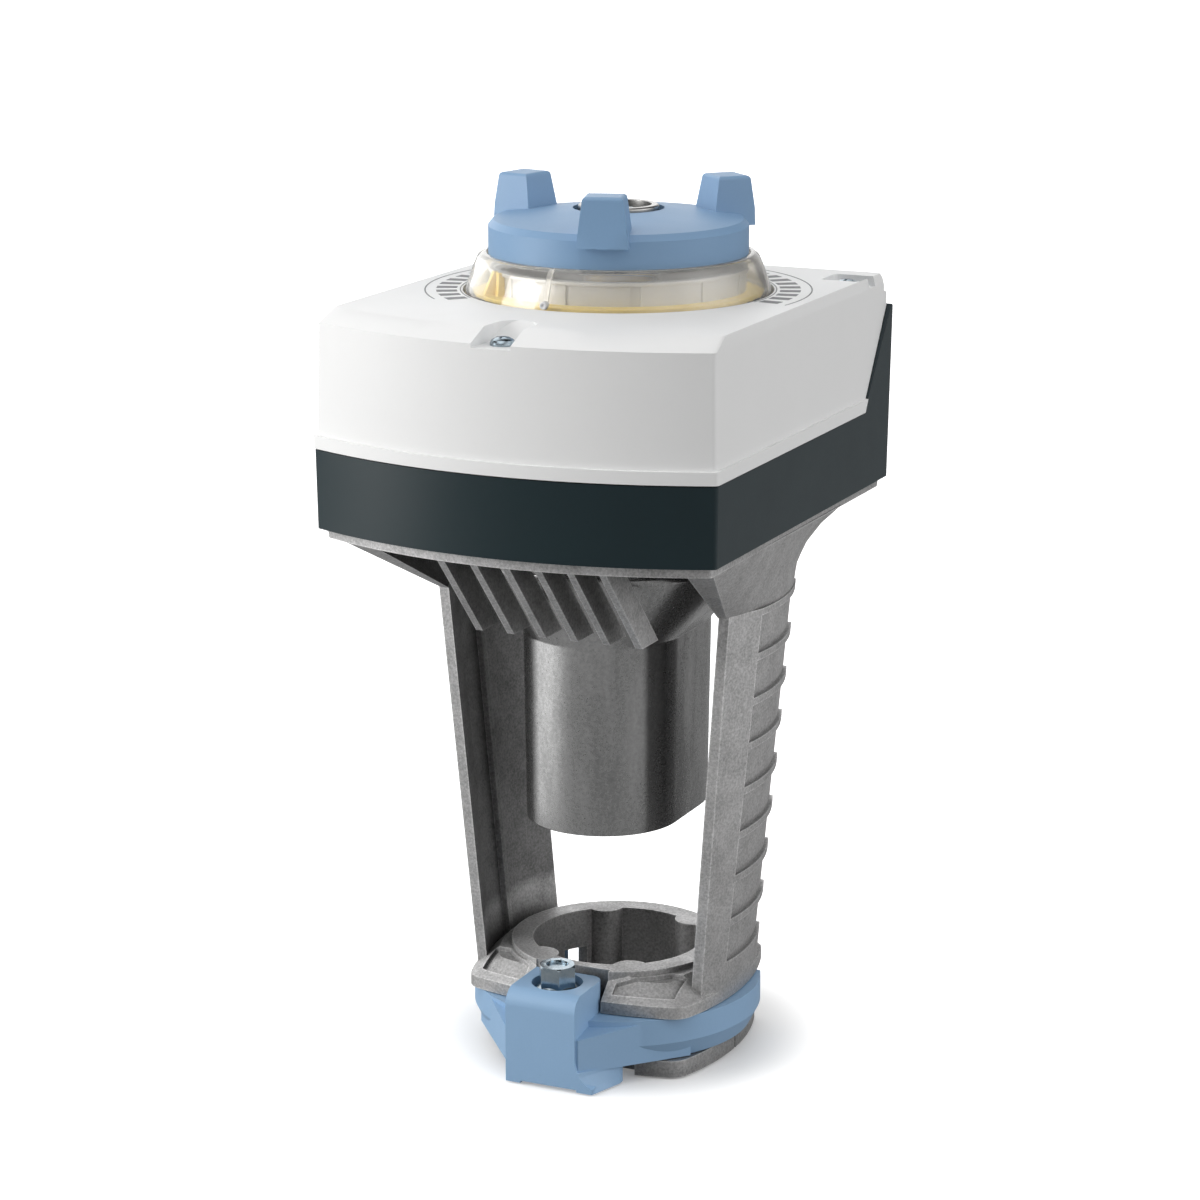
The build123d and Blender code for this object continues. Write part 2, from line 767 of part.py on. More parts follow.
def window_ring():
    """Clear dial window, a rounded ring held under the cover's roof."""
    foot = window_flange_bottom()
    bend = cover_top - 0.9
    outline = [
        (window_base_radius - window_wall, foot), (window_flange_radius, foot),
        (window_flange_radius, foot + window_flange_thickness),
        (window_base_radius, foot + window_flange_thickness), (window_base_radius, bend),
        (window_shoulder_radius, window_shoulder_z), (window_shoulder_radius - 1.0, window_top_z - 1.5),
        (window_top_radius + 0.6, window_top_z - 0.2), (window_mouth_radius, window_top_z),
        (window_mouth_radius, window_top_z - window_wall + 0.3),
        (window_shoulder_radius - window_wall, window_shoulder_z - 0.6),
        (window_base_radius - window_wall, bend)]
    return lathe(outline)


def retaining_ring():
    """Ring that holds the window up against the cover's seal."""
    top = window_flange_bottom()
    ring = tube(window_base_radius - window_wall, retainer_radius, top - retainer_thickness, top)
    for angle in (90, 210, 330):
        x, y = polar(retainer_screw_radius, angle)
        ring -= disc(1.4, top - 5, top + 1, x, y)
    return ring


def retainer_screws():
    """Three small screws of the retaining ring."""
    top = window_flange_bottom()
    screws = []
    for angle in (90, 210, 330):
        x, y = polar(retainer_screw_radius, angle)
        head = disc(retainer_head_radius, top - retainer_thickness - 1.6, top - retainer_thickness, x, y)
        screws.append(head + disc(1.2, top - retainer_thickness, top + 2, x, y))
    return screws


def dial_drum():
    """Turning drum behind the window, on the dial plate's tube."""
    floor_z = drum_floor_bottom
    return lathe([
        (tube_outer_radius + running_gap, dial_plate_bottom + dial_plate_thickness + body_gap),
        (drum_hub_radius, dial_plate_bottom + dial_plate_thickness + body_gap),
        (drum_hub_radius, floor_z), (drum_radius, floor_z), (drum_radius, drum_top),
        (drum_radius - drum_wall, drum_top), (drum_radius - drum_wall, floor_z + 2),
        (tube_outer_radius + running_gap, floor_z + 2)])


def indicator_ring():
    """Yellow ring with a two-winged pointer that turns with the drum."""
    plate_z = indicator_top - indicator_plate
    ring = tube(drum_radius, drum_radius + 1.6, floor_ring_z(), indicator_top)
    ring += tube(drum_radius, indicator_radius, plate_z, indicator_top)
    foot_z = indicator_top - 0.2
    tip_z = indicator_top + pointer_height
    wide = make_face(Polyline(
        (drum_radius + 0.3, foot_z), (indicator_radius - 0.6, foot_z),
        (drum_radius + 2.0, tip_z), (drum_radius + 0.3, tip_z), close=True))
    narrow = make_face(Polyline(
        (drum_radius + 0.3, foot_z), (drum_radius + 2.6, foot_z),
        (drum_radius + 2.0, tip_z), (drum_radius + 0.3, tip_z), close=True))
    for wing, spread in ((wide, 0.0), (narrow, 4.6)):
        plate = extrude(Plane.XZ * wing, pointer_width)
        ring += Rot(0, 0, pointer_angle + spread) * (Pos(0, pointer_width / 2, 0) * plate)
    return ring


def floor_ring_z():
    """Height of the lower edge of the yellow ring."""
    return drum_floor_bottom + 5.0


def handwheel():
    """Blue handwheel with three tapered grips on a coned top."""
    inner = wheel_radius - wheel_wall
    shell = lathe([
        (wheel_hole_radius, wheel_bottom + 1.5), (wheel_hole_radius + 2.0, wheel_bottom + 1.5),
        (wheel_hole_radius + 2.0, wheel_peak_z - wheel_wall - 0.4),
        (inner, wheel_top_edge_z - wheel_wall - 0.4), (inner, wheel_bottom), (wheel_radius, wheel_bottom),
        (wheel_radius, wheel_edge_z), (wheel_top_edge_radius, wheel_top_edge_z),
        (wheel_hole_radius, wheel_peak_z)])
    web = block(wheel_hole_radius + 1, inner + 1, -0.9, 0.9, wheel_bottom + 3, wheel_top_edge_z - 1)
    for index in range(6):
        shell += Rot(0, 0, 60 * index + knob_angles[0] + 30) * web
    for angle in knob_angles:
        shell += Rot(0, 0, angle) * grip()
    return shell


def grip():
    """One grip of the handwheel, pointing along +X."""
    half = knob_width / 2
    half_top = knob_top_width / 2
    foot_z = wheel_edge_z - knob_foot_drop
    lower = Pos(0, 0, foot_z) * make_face(Polyline(
        (knob_inner, -half), (knob_outer, -half), (knob_outer, half), (knob_inner, half), close=True))
    inner_top = knob_inner + 2.4
    outer_top = knob_outer - knob_top_inset
    upper = Pos(0, 0, knob_top) * make_face(Polyline(
        (inner_top, -half_top), (outer_top, -half_top), (outer_top, half_top), (inner_top, half_top),
        close=True))
    body = ruled(lower, upper)
    body = fillet(body.edges().filter_by(lambda edge: edge.center().Z > knob_top - 0.1), 1.2)
    return body & disc(knob_outer, foot_z - 1, knob_top + 1)


def handwheel_hub():
    """Metal hub pressed into the handwheel, with a sunk face."""
    top = metal_hub_top
    hub = lathe([
        (shaft_radius, wheel_bottom + 1.5), (wheel_hole_radius, wheel_bottom + 1.5),
        (wheel_hole_radius, top - 6), (metal_hub_radius, top - 5), (metal_hub_radius, top - 0.5),
        (metal_hub_radius - 0.5, top), (metal_hub_radius - 2.2, top), (metal_hub_radius - 2.2, top - 4.5),
        (shaft_radius - 5, top - 4.5), (shaft_radius - 5, top - 6.0), (shaft_radius, top - 6.0)])
    return hub


def handwheel_shaft():
    """Hollow shaft that turns the spindle gear through its end face when pressed."""
    top = metal_hub_top - 6.0
    shaft = tube(shaft_bore_radius, shaft_radius, shaft_bottom, top - 10)
    shaft += disc(shaft_radius, top - 10, top)
    shaft -= disc(screw_radius + 1.1, top - 9, top + 1)
    return shaft


def hub_screw():
    """Socket screw that holds the hub on the shaft."""
    seat = metal_hub_top - 4.5
    head = disc(4.6, seat, seat + 3.2) - hexagon(4.0, seat + 1.0, seat + 5)
    return head + disc(screw_radius + 1.1, seat - 9, seat)


def press_washer():
    """Washer between the spring and the handwheel's hub."""
    return tube(shaft_radius + 0.3, wheel_hole_radius, wheel_bottom, wheel_bottom + 1.2)


def press_spring():
    """Coil spring that lifts the handwheel off the drive gear, with closed ends."""
    low = tube_top + spring_wire_radius
    high = wheel_bottom - spring_wire_radius
    open_pitch = (high - low - 2 * spring_end_pitch) / spring_open_turns
    sections = []
    for index in range((spring_open_turns + 2) * spring_steps + 1):
        turns = index / spring_steps
        open_part = min(max(turns - 1, 0), spring_open_turns)
        z = low + open_part * open_pitch + (turns - open_part) * spring_end_pitch
        frame = Plane(origin=(*polar(spring_coil_radius, 360 * turns), z),
                      x_dir=(0, 0, 1), z_dir=(*polar(1, 360 * turns + 90), 0))
        sections.append(frame * RegularPolygon(spring_wire_radius, 6))
    return loft(sections, ruled=True)


def dial_plate():
    """Fixed plate with the tube that carries the drum and the handwheel shaft."""
    outline = make_hull([
        edge for x, y in pillar_points
        for edge in (Pos(x, y) * Circle(pillar_radius + pillar_margin)).edges()])
    plate = Pos(0, 0, dial_plate_bottom) * extrude(make_face(outline), dial_plate_thickness)
    plate += disc(tube_outer_radius, dial_plate_bottom, tube_top)
    plate -= disc(shaft_radius + running_gap, dial_plate_bottom - 1, tube_top + 1)
    x, y = dial_idler_point()
    plate -= disc(9.2, dial_plate_bottom - 1, dial_plate_bottom + dial_plate_thickness + 1, x, y)
    return plate


def gear_plate():
    """Plate that carries the motor and the upper ends of the gear axles."""
    points = pillar_points + [front_pillar_point]
    edges = [edge for x, y in points
             for edge in (Pos(x, y) * Circle(pillar_radius + pillar_margin)).edges()]
    motor_x, motor_y = motor_point()
    edges += (Pos(motor_x, motor_y) * Circle(motor_radius - 2)).edges()
    plate = Pos(0, 0, gear_plate_bottom) * extrude(make_face(make_hull(edges)), gear_plate_thickness)
    low = gear_plate_bottom - 1
    high = gear_plate_bottom + gear_plate_thickness + 1
    plate -= disc(bush_radius, low, high)
    plate -= disc(8.2, low, high, motor_x, motor_y)
    for x, y in (reducer_point(), dial_idler_point()):
        plate -= disc(axle_radius, low, high, x, y)
    return plate


def plate_pillars():
    """Pillars under and over the gear plate."""
    pillars = []
    for x, y in pillar_points + [front_pillar_point]:
        pillars.append(disc(pillar_radius, floor_top, gear_plate_bottom, x, y))
    for x, y in pillar_points:
        pillars.append(disc(
            pillar_radius, gear_plate_bottom + gear_plate_thickness, dial_plate_bottom, x, y))
    return pillars


def upper_bush():
    """Plain bush that guides the drive gear's hub in the gear plate."""
    top = gear_plate_bottom + gear_plate_thickness
    bush = tube(hub_radius + 0.03, bush_radius, gear_plate_bottom, top)
    return bush + tube(hub_radius + 0.03, bush_radius + 1.5, top, top + 0.8)


def reducer_point():
    """Centre of the first reduction gear."""
    distance = (drive_teeth + reducer_pinion_teeth) * drive_module / 2
    return polar(distance, reducer_angle)


def motor_point():
    """Centre of the motor."""
    distance = (reducer_wheel_teeth + motor_teeth) * drive_module / 2
    x, y = reducer_point()
    dx, dy = polar(distance, motor_angle)
    return (x + dx, y + dy)


def dial_idler_point():
    """Centre of the gear that drives the dial."""
    distance = (dial_pinion_teeth + dial_wheel_teeth) * dial_module / 2
    return polar(distance, dial_idler_angle)


def drive_gear():
    """Large gear whose hub is the spindle's nut, with the dial's pinion on top."""
    bottom = plate_bottom - bearing_width + body_gap
    body = disc(bearing_inner_radius, bottom, plate_bottom + body_gap)
    body += disc(lower_hub_radius, plate_bottom + body_gap, drive_gear_bottom + 1)
    wheel = gear(drive_teeth, drive_module, drive_gear_bottom, drive_gear_bottom + drive_gear_width)
    top = drive_gear_bottom + drive_gear_width
    wheel -= tube(lower_hub_radius, 26.0, top - 2.5, top + 1)
    body += wheel + disc(hub_radius, drive_gear_bottom, dial_pinion_bottom - 0.4)
    body += disc(7.6, dial_pinion_bottom - 0.4, dial_pinion_bottom)
    body += gear(dial_pinion_teeth, dial_module, dial_pinion_bottom,
                 dial_pinion_bottom + dial_pinion_width)
    body += disc(9.0, dial_pinion_bottom + dial_pinion_width, hub_top)
    return body - disc(spindle_radius + running_gap, bottom - 1, hub_top + 1)


def reducer_gear():
    """First reduction gear: a wide pinion and a large wheel in one piece."""
    x, y = reducer_point()
    small_turn = mesh_turn(drive_teeth, 0.0, reducer_pinion_teeth, reducer_angle)
    body = gear(reducer_pinion_teeth, drive_module, drive_gear_bottom, reducer_wheel_bottom,
                x, y, small_turn)
    body += gear(reducer_wheel_teeth, drive_module, reducer_wheel_bottom,
                 reducer_wheel_bottom + reducer_wheel_width, x, y, small_turn)
    body += disc(4.5, floor_top + body_gap, drive_gear_bottom, x, y)
    body += disc(4.5, reducer_wheel_bottom, gear_plate_bottom - body_gap, x, y)
    return body - disc(axle_radius + running_gap, floor_top - 1, gear_plate_bottom + 1, x, y)


def motor_pinion():
    """Motor shaft with its pinion."""
    x, y = motor_point()
    reducer_turn = mesh_turn(drive_teeth, 0.0, reducer_pinion_teeth, reducer_angle)
    turn = mesh_turn(reducer_wheel_teeth, reducer_turn, motor_teeth, motor_angle)
    pinion = gear(motor_teeth, drive_module, reducer_wheel_bottom - 0.5,
                  reducer_wheel_bottom + reducer_wheel_width, x, y, turn)
    motor_bottom = gear_plate_bottom + gear_plate_thickness
    return pinion + disc(axle_radius, reducer_wheel_bottom, motor_bottom + 6, x, y)


def motor_body():
    """Synchronous motor: a flat can with a front boss."""
    x, y = motor_point()
    bottom = gear_plate_bottom + gear_plate_thickness
    can = disc(motor_radius, bottom, bottom + motor_height, x, y)
    can = fillet(can.edges().filter_by(lambda edge: edge.center().Z > bottom + 1), 1.5)
    can += disc(8.0, bottom - 2.5, bottom + 0.5, x, y)
    return can - disc(axle_radius + running_gap, bottom - 4, bottom + 6.5, x, y)


def dial_idler():
    """Second reduction gear, from the drive gear's hub up to the dial gear."""
    x, y = dial_idler_point()
    turn = mesh_turn(dial_pinion_teeth, 0.0, dial_wheel_teeth, dial_idler_angle)
    wheel_top = dial_pinion_bottom + dial_pinion_width
    body = gear(dial_wheel_teeth, dial_module, dial_pinion_bottom + 0.4, wheel_top, x, y, turn)
    body += gear(dial_drive_teeth, dial_module, wheel_top, dial_gear_bottom + dial_gear_width + 0.5,
                 x, y, turn)
    low = gear_plate_bottom + gear_plate_thickness + body_gap
    body += disc(4.5, low, dial_pinion_bottom + 1, x, y)
    return body - disc(axle_radius + running_gap, low - 1, drum_floor_bottom, x, y)


def gear_axles():
    """Two fixed steel pins that the reduction gears turn on."""
    x, y = reducer_point()
    first = disc(axle_radius, floor_top, gear_plate_bottom + gear_plate_thickness, x, y)
    x, y = dial_idler_point()
    second = disc(axle_radius, gear_plate_bottom, dial_gear_bottom + dial_gear_width + 1, x, y)
    return [first, second]


def dial_gear():
    """Gear that turns the drum."""
    x_angle = dial_idler_angle + 180.0
    idler_turn = mesh_turn(dial_pinion_teeth, 0.0, dial_wheel_teeth, dial_idler_angle)
    turn = mesh_turn(dial_drive_teeth, idler_turn, dial_gear_teeth, x_angle)
    body = gear(dial_gear_teeth, dial_module, dial_gear_bottom, dial_gear_bottom + dial_gear_width,
                0, 0, turn)
    return body - disc(drum_hub_radius, dial_gear_bottom - 1, dial_gear_bottom + 10)


def spindle():
    """Threaded spindle that moves the valve stem."""
    rod = disc(spindle_radius, spindle_bottom, spindle_top)
    return chamfer(rod.edges().filter_by(lambda edge: edge.center().Z > spindle_top - 1), 1.0)


def stem_coupling():
    """Coupling that holds the valve stem on the spindle's lower end."""
    top = coupling_bottom + coupling_height
    body = disc(coupling_radius, coupling_bottom, top)
    body = chamfer(body.edges().filter_by(GeomType.CIRCLE), 1.0)
    body -= disc(spindle_radius, spindle_bottom, top + 1)
    body -= disc(stem_socket_radius, coupling_bottom - 1, coupling_bottom + stem_socket_depth)
    body -= block(-20, 20, -20, -coupling_radius + 2.0, coupling_bottom - 1, coupling_bottom + 16)
    screw_hole = Pos(0, -coupling_radius, coupling_bottom + 7) * (Rot(90, 0, 0) * Cylinder(2.5, 14))
    return body - screw_hole


def coupling_screw():
    """Hexagon screw that locks the valve stem in the coupling."""
    z = coupling_bottom + 7
    seat = -coupling_radius + 2.0
    shank_length = -seat - stem_socket_radius - 0.2
    shank = Pos(0, seat + shank_length / 2, z) * (Rot(90, 0, 0) * Cylinder(2.5, shank_length))
    head = Plane(origin=(0, seat, z), z_dir=(0, -1, 0)) * RegularPolygon(4.0, 6, major_radius=False)
    return shank + extrude(head, 3.5)


def guide_plate():
    """Cross plate on the spindle that slides in the long cup."""
    reach = obround(guide_bottom, cup_end_radius - cup_wall - body_gap, cup_half_run)
    plate = extrude(reach, guide_thickness)
    half = guide_width / 2
    plate &= block(-half, half, -60, 60, guide_bottom - 1, guide_bottom + guide_thickness + 1)
    return plate - disc(spindle_radius, guide_bottom - 1, guide_bottom + guide_thickness + 1)


def guide_clips():
    """Two retaining rings that hold the guide plate on the spindle."""
    top = guide_bottom + guide_thickness
    return [
        tube(spindle_radius, clip_radius, guide_bottom - clip_thickness, guide_bottom),
        tube(spindle_radius, clip_radius, top, top + clip_thickness),
    ]


def circuit_board():
    """Connection board on its posts."""
    left = board_left
    board = block(left, left + 28, 12, 58, board_bottom, board_bottom + board_thickness)
    for x, y in ((left + 3, 15), (left + 3, 49), (left + 25, 47)):
        board += disc(2.4, floor_top, board_bottom, x, y)
    return board


def terminal_block():
    """Row of screw terminals on the board."""
    base = board_bottom + board_thickness
    left = board_left + 2
    body = block(left, left + 19, 38, 56, base, base + 9)
    body += block(left, left + 19, 38, 48, base + 9, base + 13)
    for index in range(4):
        x = left + 2.4 + index * 4.75
        body -= block(x - 1.5, x + 1.5, 50, 57, base + 2, base + 6.5)
        body -= disc(1.6, base + 6, base + 14, x, 43)
    return body


def capacitor():
    """Run capacitor of the motor, standing on the board."""
    base = board_bottom + board_thickness
    can = disc(4.6, base, base + 18, board_left + 6, 22)
    return fillet(can.edges().filter_by(lambda edge: edge.center().Z > base + 1), 0.8)


def core_windows(gap):
    """Y ranges of the two windows in the transformer's core, drawn in by a gap."""
    first = core_front + core_leg
    second = first + core_window + core_middle
    return [(first + gap, first + core_window), (second, second + core_window - gap)]


def transformer():
    """Supply transformer: laminated core with its winding."""
    low = floor_top + core_yoke
    high = floor_top + core_height - core_yoke
    core = block(core_left, core_right, core_front, core_front + core_depth, floor_top, floor_top + core_height)
    for front, back in core_windows(0.0):
        core -= block(core_left - 1, core_right + 1, front, back, low, high)
    return core


def transformer_winding():
    """Winding round the middle leg of the transformer."""
    gap = 0.2
    low = floor_top + core_yoke + gap
    high = floor_top + core_height - core_yoke - gap
    (front, leg_front), (leg_back, back) = core_windows(gap)
    coil = block(core_left - 2.4, core_right + 2.4, front, back, low, high)
    return coil - block(core_left - gap, core_right + gap, leg_front - gap, leg_back + gap, low - 1, high + 1)


def limit_switches():
    """Two end switches on the gear plate."""
    low = gear_plate_bottom + gear_plate_thickness
    switches = []
    for y in (-24.0, -15.0):
        body = block(14, 29, y, y + 6, low, low + 9)
        switches.append(body + block(16, 19, y + 2, y + 4, low + 9, low + 10.5))
    return switches


def blanking_plugs():
    """Two plugs in the cable entries that are not in use."""
    plugs = []
    for x in (0, entry_spacing):
        depth = housing_wall + entry_boss_depth
        shank = Pos(x, back_y - depth / 2, entry_z) * (
            Rot(90, 0, 0) * Cylinder(entry_radius - 0.05, depth))
        flange = Pos(x, back_y + 0.7, entry_z) * (Rot(90, 0, 0) * Cylinder(entry_radius + 1.5, 1.4))
        plugs.append(shank + flange)
    return plugs


def clamp_bracket():
    """Blue clamp: a band in the collar's groove with the bolt block in front."""
    low = groove_bottom + body_gap
    high = groove_top - body_gap
    band = lathe([(0, low), (band_foot_radius, low), (band_radius, band_taper_z),
                  (band_radius, high), (0, high)])
    wedge_face = make_face(Polyline(
        (0, 0), (band_facet_x, band_facet_y), (block_right + 0.8, block_front + 1.0),
        (block_left, block_front + 1.0), (-band_facet_x, band_facet_y), close=True))
    wedge = extrude(Pos(0, 0, low) * wedge_face, high - low)
    wedge -= side_prism([(-70, ledge_front_z - 2), (-70, high + 5), (-28, high + 5), (-28, high),
                         (block_front, ledge_front_z)], -60, 60)
    body = band + wedge
    hole = disc(groove_radius + band_clearance, low - 5, high + 5)
    hole += disc(groove_radius + band_clearance, low - 5, high + 5, 0, -band_travel)
    body -= hole
    body -= block(-60, 60, band_end_y, 60, low - 1, high + 1)
    body += clamp_block()
    body -= disc(bolt_radius + 0.3, -1, block_top + 1, bolt_x, bolt_y)
    body -= disc(counterbore_radius, counterbore_z, block_top + 1, bolt_x, bolt_y)
    return body - hexagon(nut_across, nut_bottom, nut_bottom + nut_height, bolt_x, bolt_y)


def clamp_block():
    """Bolt block of the clamp, flared at its toe, with a counterbored bolt hole."""
    toe_start = (block_toe_right, 1.5)
    toe_end = (block_right, block_toe_height)
    profile = make_face([
        Polyline(toe_end, (block_right, block_top), (block_left, block_top), (block_left, 0),
                 (block_toe_right, 0), toe_start),
        ThreePointArc(toe_start, (block_right + 1.6, block_toe_height / 2 + 0.2), toe_end)])
    upright = Plane(origin=(0, block_back, 0), x_dir=(1, 0, 0), z_dir=(0, -1, 0))
    body = extrude(upright * profile, block_back - block_front)
    rim = body.edges().filter_by(Axis.X)
    front_top = [edge for edge in rim
                 if edge.center().Z > block_top - 1 and edge.center().Y < block_front + 1]
    body = fillet(front_top, block_round)
    corner_x = block_right - block_back_round
    corner_y = block_back - block_back_round
    corner = block(corner_x, block_right + 1, corner_y, block_back + 1, block_toe_height, block_top + 1)
    body -= corner - disc(block_back_round, block_toe_height - 1, block_top + 2, corner_x, corner_y)
    sections = []
    for share in (0.0, 0.2, 0.55, 1.0):
        z = share * block_toe_height
        right = block_right + 0.3 + (block_toe_right - block_right - 0.3) * (1 - share) ** 2
        sections.append(Pos(0, 0, z) * make_face(Polyline(
            (block_left + 5, block_front), (right, block_front),
            (toe_reach, block_front + 11.6), (toe_reach, block_front + 13.8),
            (block_left + 5, block_front + 13.8), close=True)))
    toe = loft(sections, ruled=True)
    body += toe & block(block_left, toe_reach + 1, -80, 0, -1, groove_bottom + body_gap + 0.5)
    body -= block(block_left + 4.8, block_toe_right - 5.0, block_front - 1, block_front + 6, -1, 0.7)
    return body


def clamp_nut():
    """Captive nut in the block."""
    nut = hexagon(nut_across, nut_bottom, nut_bottom + nut_height, bolt_x, bolt_y)
    return nut - disc(bolt_radius + running_gap, nut_bottom - 1, nut_bottom + 20, bolt_x, bolt_y)


def clamp_washer():
    """Washer under the bolt's head."""
    seat = counterbore_z + body_gap
    return tube(bolt_radius + 0.3, washer_radius, seat, seat + washer_thickness, bolt_x, bolt_y)


def clamp_bolt():
    """Flanged hexagon bolt of the clamp."""
    seat = counterbore_z + body_gap + washer_thickness + 0.1
    flange_top = seat + bolt_flange_height
    shank = disc(bolt_radius, 3.5, seat, bolt_x, bolt_y)
    shank = chamfer(shank.edges().filter_by(lambda edge: edge.center().Z < 4), 1.5)
    flange = Pos(bolt_x, bolt_y, 0) * lathe([
        (0, seat), (bolt_flange_radius, seat), (bolt_flange_radius, seat + 0.5),
        (bolt_head_across / 2, flange_top), (0, flange_top)])
    head = hexagon(bolt_head_across, seat + 0.5, flange_top + bolt_head_height, bolt_x, bolt_y)
    crown = Pos(bolt_x, bolt_y, 0) * lathe([
        (0, seat), (8, seat), (8, flange_top + bolt_head_height - 2.3),
        (bolt_head_across / 2 + 0.1, flange_top + bolt_head_height), (0, flange_top + bolt_head_height)])
    recess = disc(3.3, flange_top + bolt_head_height - 0.8, flange_top + 20, bolt_x, bolt_y)
    return shank + flange + (head & crown) - recess


def window_seal():
    """Flat seal between the window's flange and the cover."""
    return tube(window_base_radius + 0.6, window_flange_radius,
                cover_underside - seal_thickness, cover_underside)


parts = {
    "yoke_casting": yoke_casting,
    "spindle_housing": spindle_housing,
    "spindle_seal": spindle_seal,
    "lower_bearing": lower_bearing,
    "base_shell": base_shell,
    "cover_gasket": gasket_ring,
    "cover_shell": cover_shell,
    "cover_screws": cover_screws,
    "yoke_screws": yoke_screws,
    "window_ring": window_ring,
    "window_seal": window_seal,
    "retaining_ring": retaining_ring,
    "retainer_screws": retainer_screws,
    "dial_drum": dial_drum,
    "dial_gear": dial_gear,
    "indicator_ring": indicator_ring,
    "handwheel": handwheel,
    "handwheel_hub": handwheel_hub,
    "handwheel_shaft": handwheel_shaft,
    "hub_screw": hub_screw,
    "press_washer": press_washer,
    "press_spring": press_spring,
    "dial_plate": dial_plate,
    "gear_plate": gear_plate,
    "plate_pillars": plate_pillars,
    "upper_bush": upper_bush,
    "drive_gear": drive_gear,
    "reducer_gear": reducer_gear,
    "motor_pinion": motor_pinion,
    "motor_body": motor_body,
    "dial_idler": dial_idler,
    "gear_axles": gear_axles,
    "spindle": spindle,
    "stem_coupling": stem_coupling,
    "coupling_screw": coupling_screw,
    "guide_plate": guide_plate,
    "guide_clips": guide_clips,
    "circuit_board": circuit_board,
    "terminal_block": terminal_block,
    "capacitor": capacitor,
    "transformer_core": transformer,
    "transformer_winding": transformer_winding,
    "limit_switches": limit_switches,
    "blanking_plugs": blanking_plugs,
    "clamp_bracket": clamp_bracket,
    "clamp_nut": clamp_nut,
    "clamp_washer": clamp_washer,
    "clamp_bolt": clamp_bolt,
}


def solids_of(shape):
    """All solids of a part, whether it is one shape or a list."""
    shapes = shape if isinstance(shape, list) else [shape]
    return [solid for item in shapes for solid in item.solids()]


os.makedirs("parts", exist_ok=True)
for name, make in parts.items():
    solids = solids_of(make())
    result = solids[0] if len(solids) == 1 else Compound(children=solids)
    result.label = name
    export_step(result, f"parts/{name}.step")
    print(name, len(solids), round(sum(solid.volume for solid in solids)))
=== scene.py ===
import bpy
import math
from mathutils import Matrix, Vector


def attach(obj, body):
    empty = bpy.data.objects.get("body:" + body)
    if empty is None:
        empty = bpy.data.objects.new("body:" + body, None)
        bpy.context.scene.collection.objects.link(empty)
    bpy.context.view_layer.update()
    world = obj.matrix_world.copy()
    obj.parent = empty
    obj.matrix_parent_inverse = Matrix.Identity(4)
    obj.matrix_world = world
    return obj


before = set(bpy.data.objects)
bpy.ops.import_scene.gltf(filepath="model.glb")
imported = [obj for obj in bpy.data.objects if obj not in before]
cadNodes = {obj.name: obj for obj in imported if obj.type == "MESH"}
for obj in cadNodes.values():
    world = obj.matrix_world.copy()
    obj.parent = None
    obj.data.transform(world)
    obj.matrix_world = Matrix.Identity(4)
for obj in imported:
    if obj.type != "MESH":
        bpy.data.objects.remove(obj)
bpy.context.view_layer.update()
print("frame loaded,", len(cadNodes), "CAD nodes")

# all lengths are in metres unless a note says otherwise

viewSettings = {
    "cameraPlace": (0.40945, -0.90978, 0.38583),
    "lookAt": (-0.00490, -0.00224, 0.13542),
    "lens": 103.8,        # millimetres, as the sensor
    "sensor": 36.0,
    "clipStart": 0.05,
    "viewTransform": "Standard",
    "skyTone": (1.0, 1.0, 1.0),
    "skySeen": 1.02,      # strength of the room as the camera sees it
}

# name, place, aim, width, height, watts, tint; the cards lie on the floor and face up,
# aimed a hair off the vertical so that their turn is settled
studioLights = [
    ("keyBox", (-0.928, -0.603, 0.43), (0, 0, 0.13), 0.62, 0.62, 6.3, (1.0, 0.998, 0.99)),
    ("frontBox", (-0.783, -0.783, 0.60), (0, 0, 0.13), 0.62, 0.62, 2.8, (1.0, 0.998, 0.99)),
    ("lowBox", (-0.884, -0.666, 0.22), (0, 0, 0.13), 0.36, 0.42, 1.1, (1.0, 0.998, 0.99)),
    ("leftCard", (-0.377, -0.184, 0.004), (-0.3771, -0.184, 1.0), 0.32, 0.32, 0.26, (1.0, 1.0, 1.0)),
    ("rightCard", (0.395, 0.144, 0.004), (0.3951, 0.144, 1.0), 0.32, 0.32, 0.17, (1.0, 1.0, 1.0)),
]

# soft patches of the room: azimuth and height in degrees, cosine where each starts and is full, strength
roomPatches = [
    (135, 18, 0.62, 0.98, 1.62),
    (350, 18, 0.62, 0.98, 1.16),
    (20, 20, 0.80, 0.98, 1.05),
    (255, 72, 0.80, 0.97, 1.90),
]


def addNode(tree, kind, inputs=None, **settings):
    node = tree.nodes.new(kind)
    for name, value in settings.items():
        setattr(node, name, value)
    for socket, value in (inputs or {}).items():
        node.inputs[socket].default_value = value
    return node


def wire(tree, *pairs):
    for start, end in pairs:
        tree.links.new(start, end)


def aimAt(thing, target):
    direction = Vector(target) - thing.location
    thing.rotation_euler = direction.to_track_quat("-Z", "Y").to_euler()


def setUpView():
    cameraData = bpy.data.cameras.new("photoCamera")
    cameraData.lens = viewSettings["lens"]
    cameraData.sensor_width = viewSettings["sensor"]
    cameraData.sensor_fit = "HORIZONTAL"
    cameraData.clip_start = viewSettings["clipStart"]
    camera = bpy.data.objects.new("photoCamera", cameraData)
    bpy.context.scene.collection.objects.link(camera)
    camera.location = viewSettings["cameraPlace"]
    aimAt(camera, viewSettings["lookAt"])
    bpy.context.scene.camera = camera
    bpy.context.scene.view_settings.view_transform = viewSettings["viewTransform"]


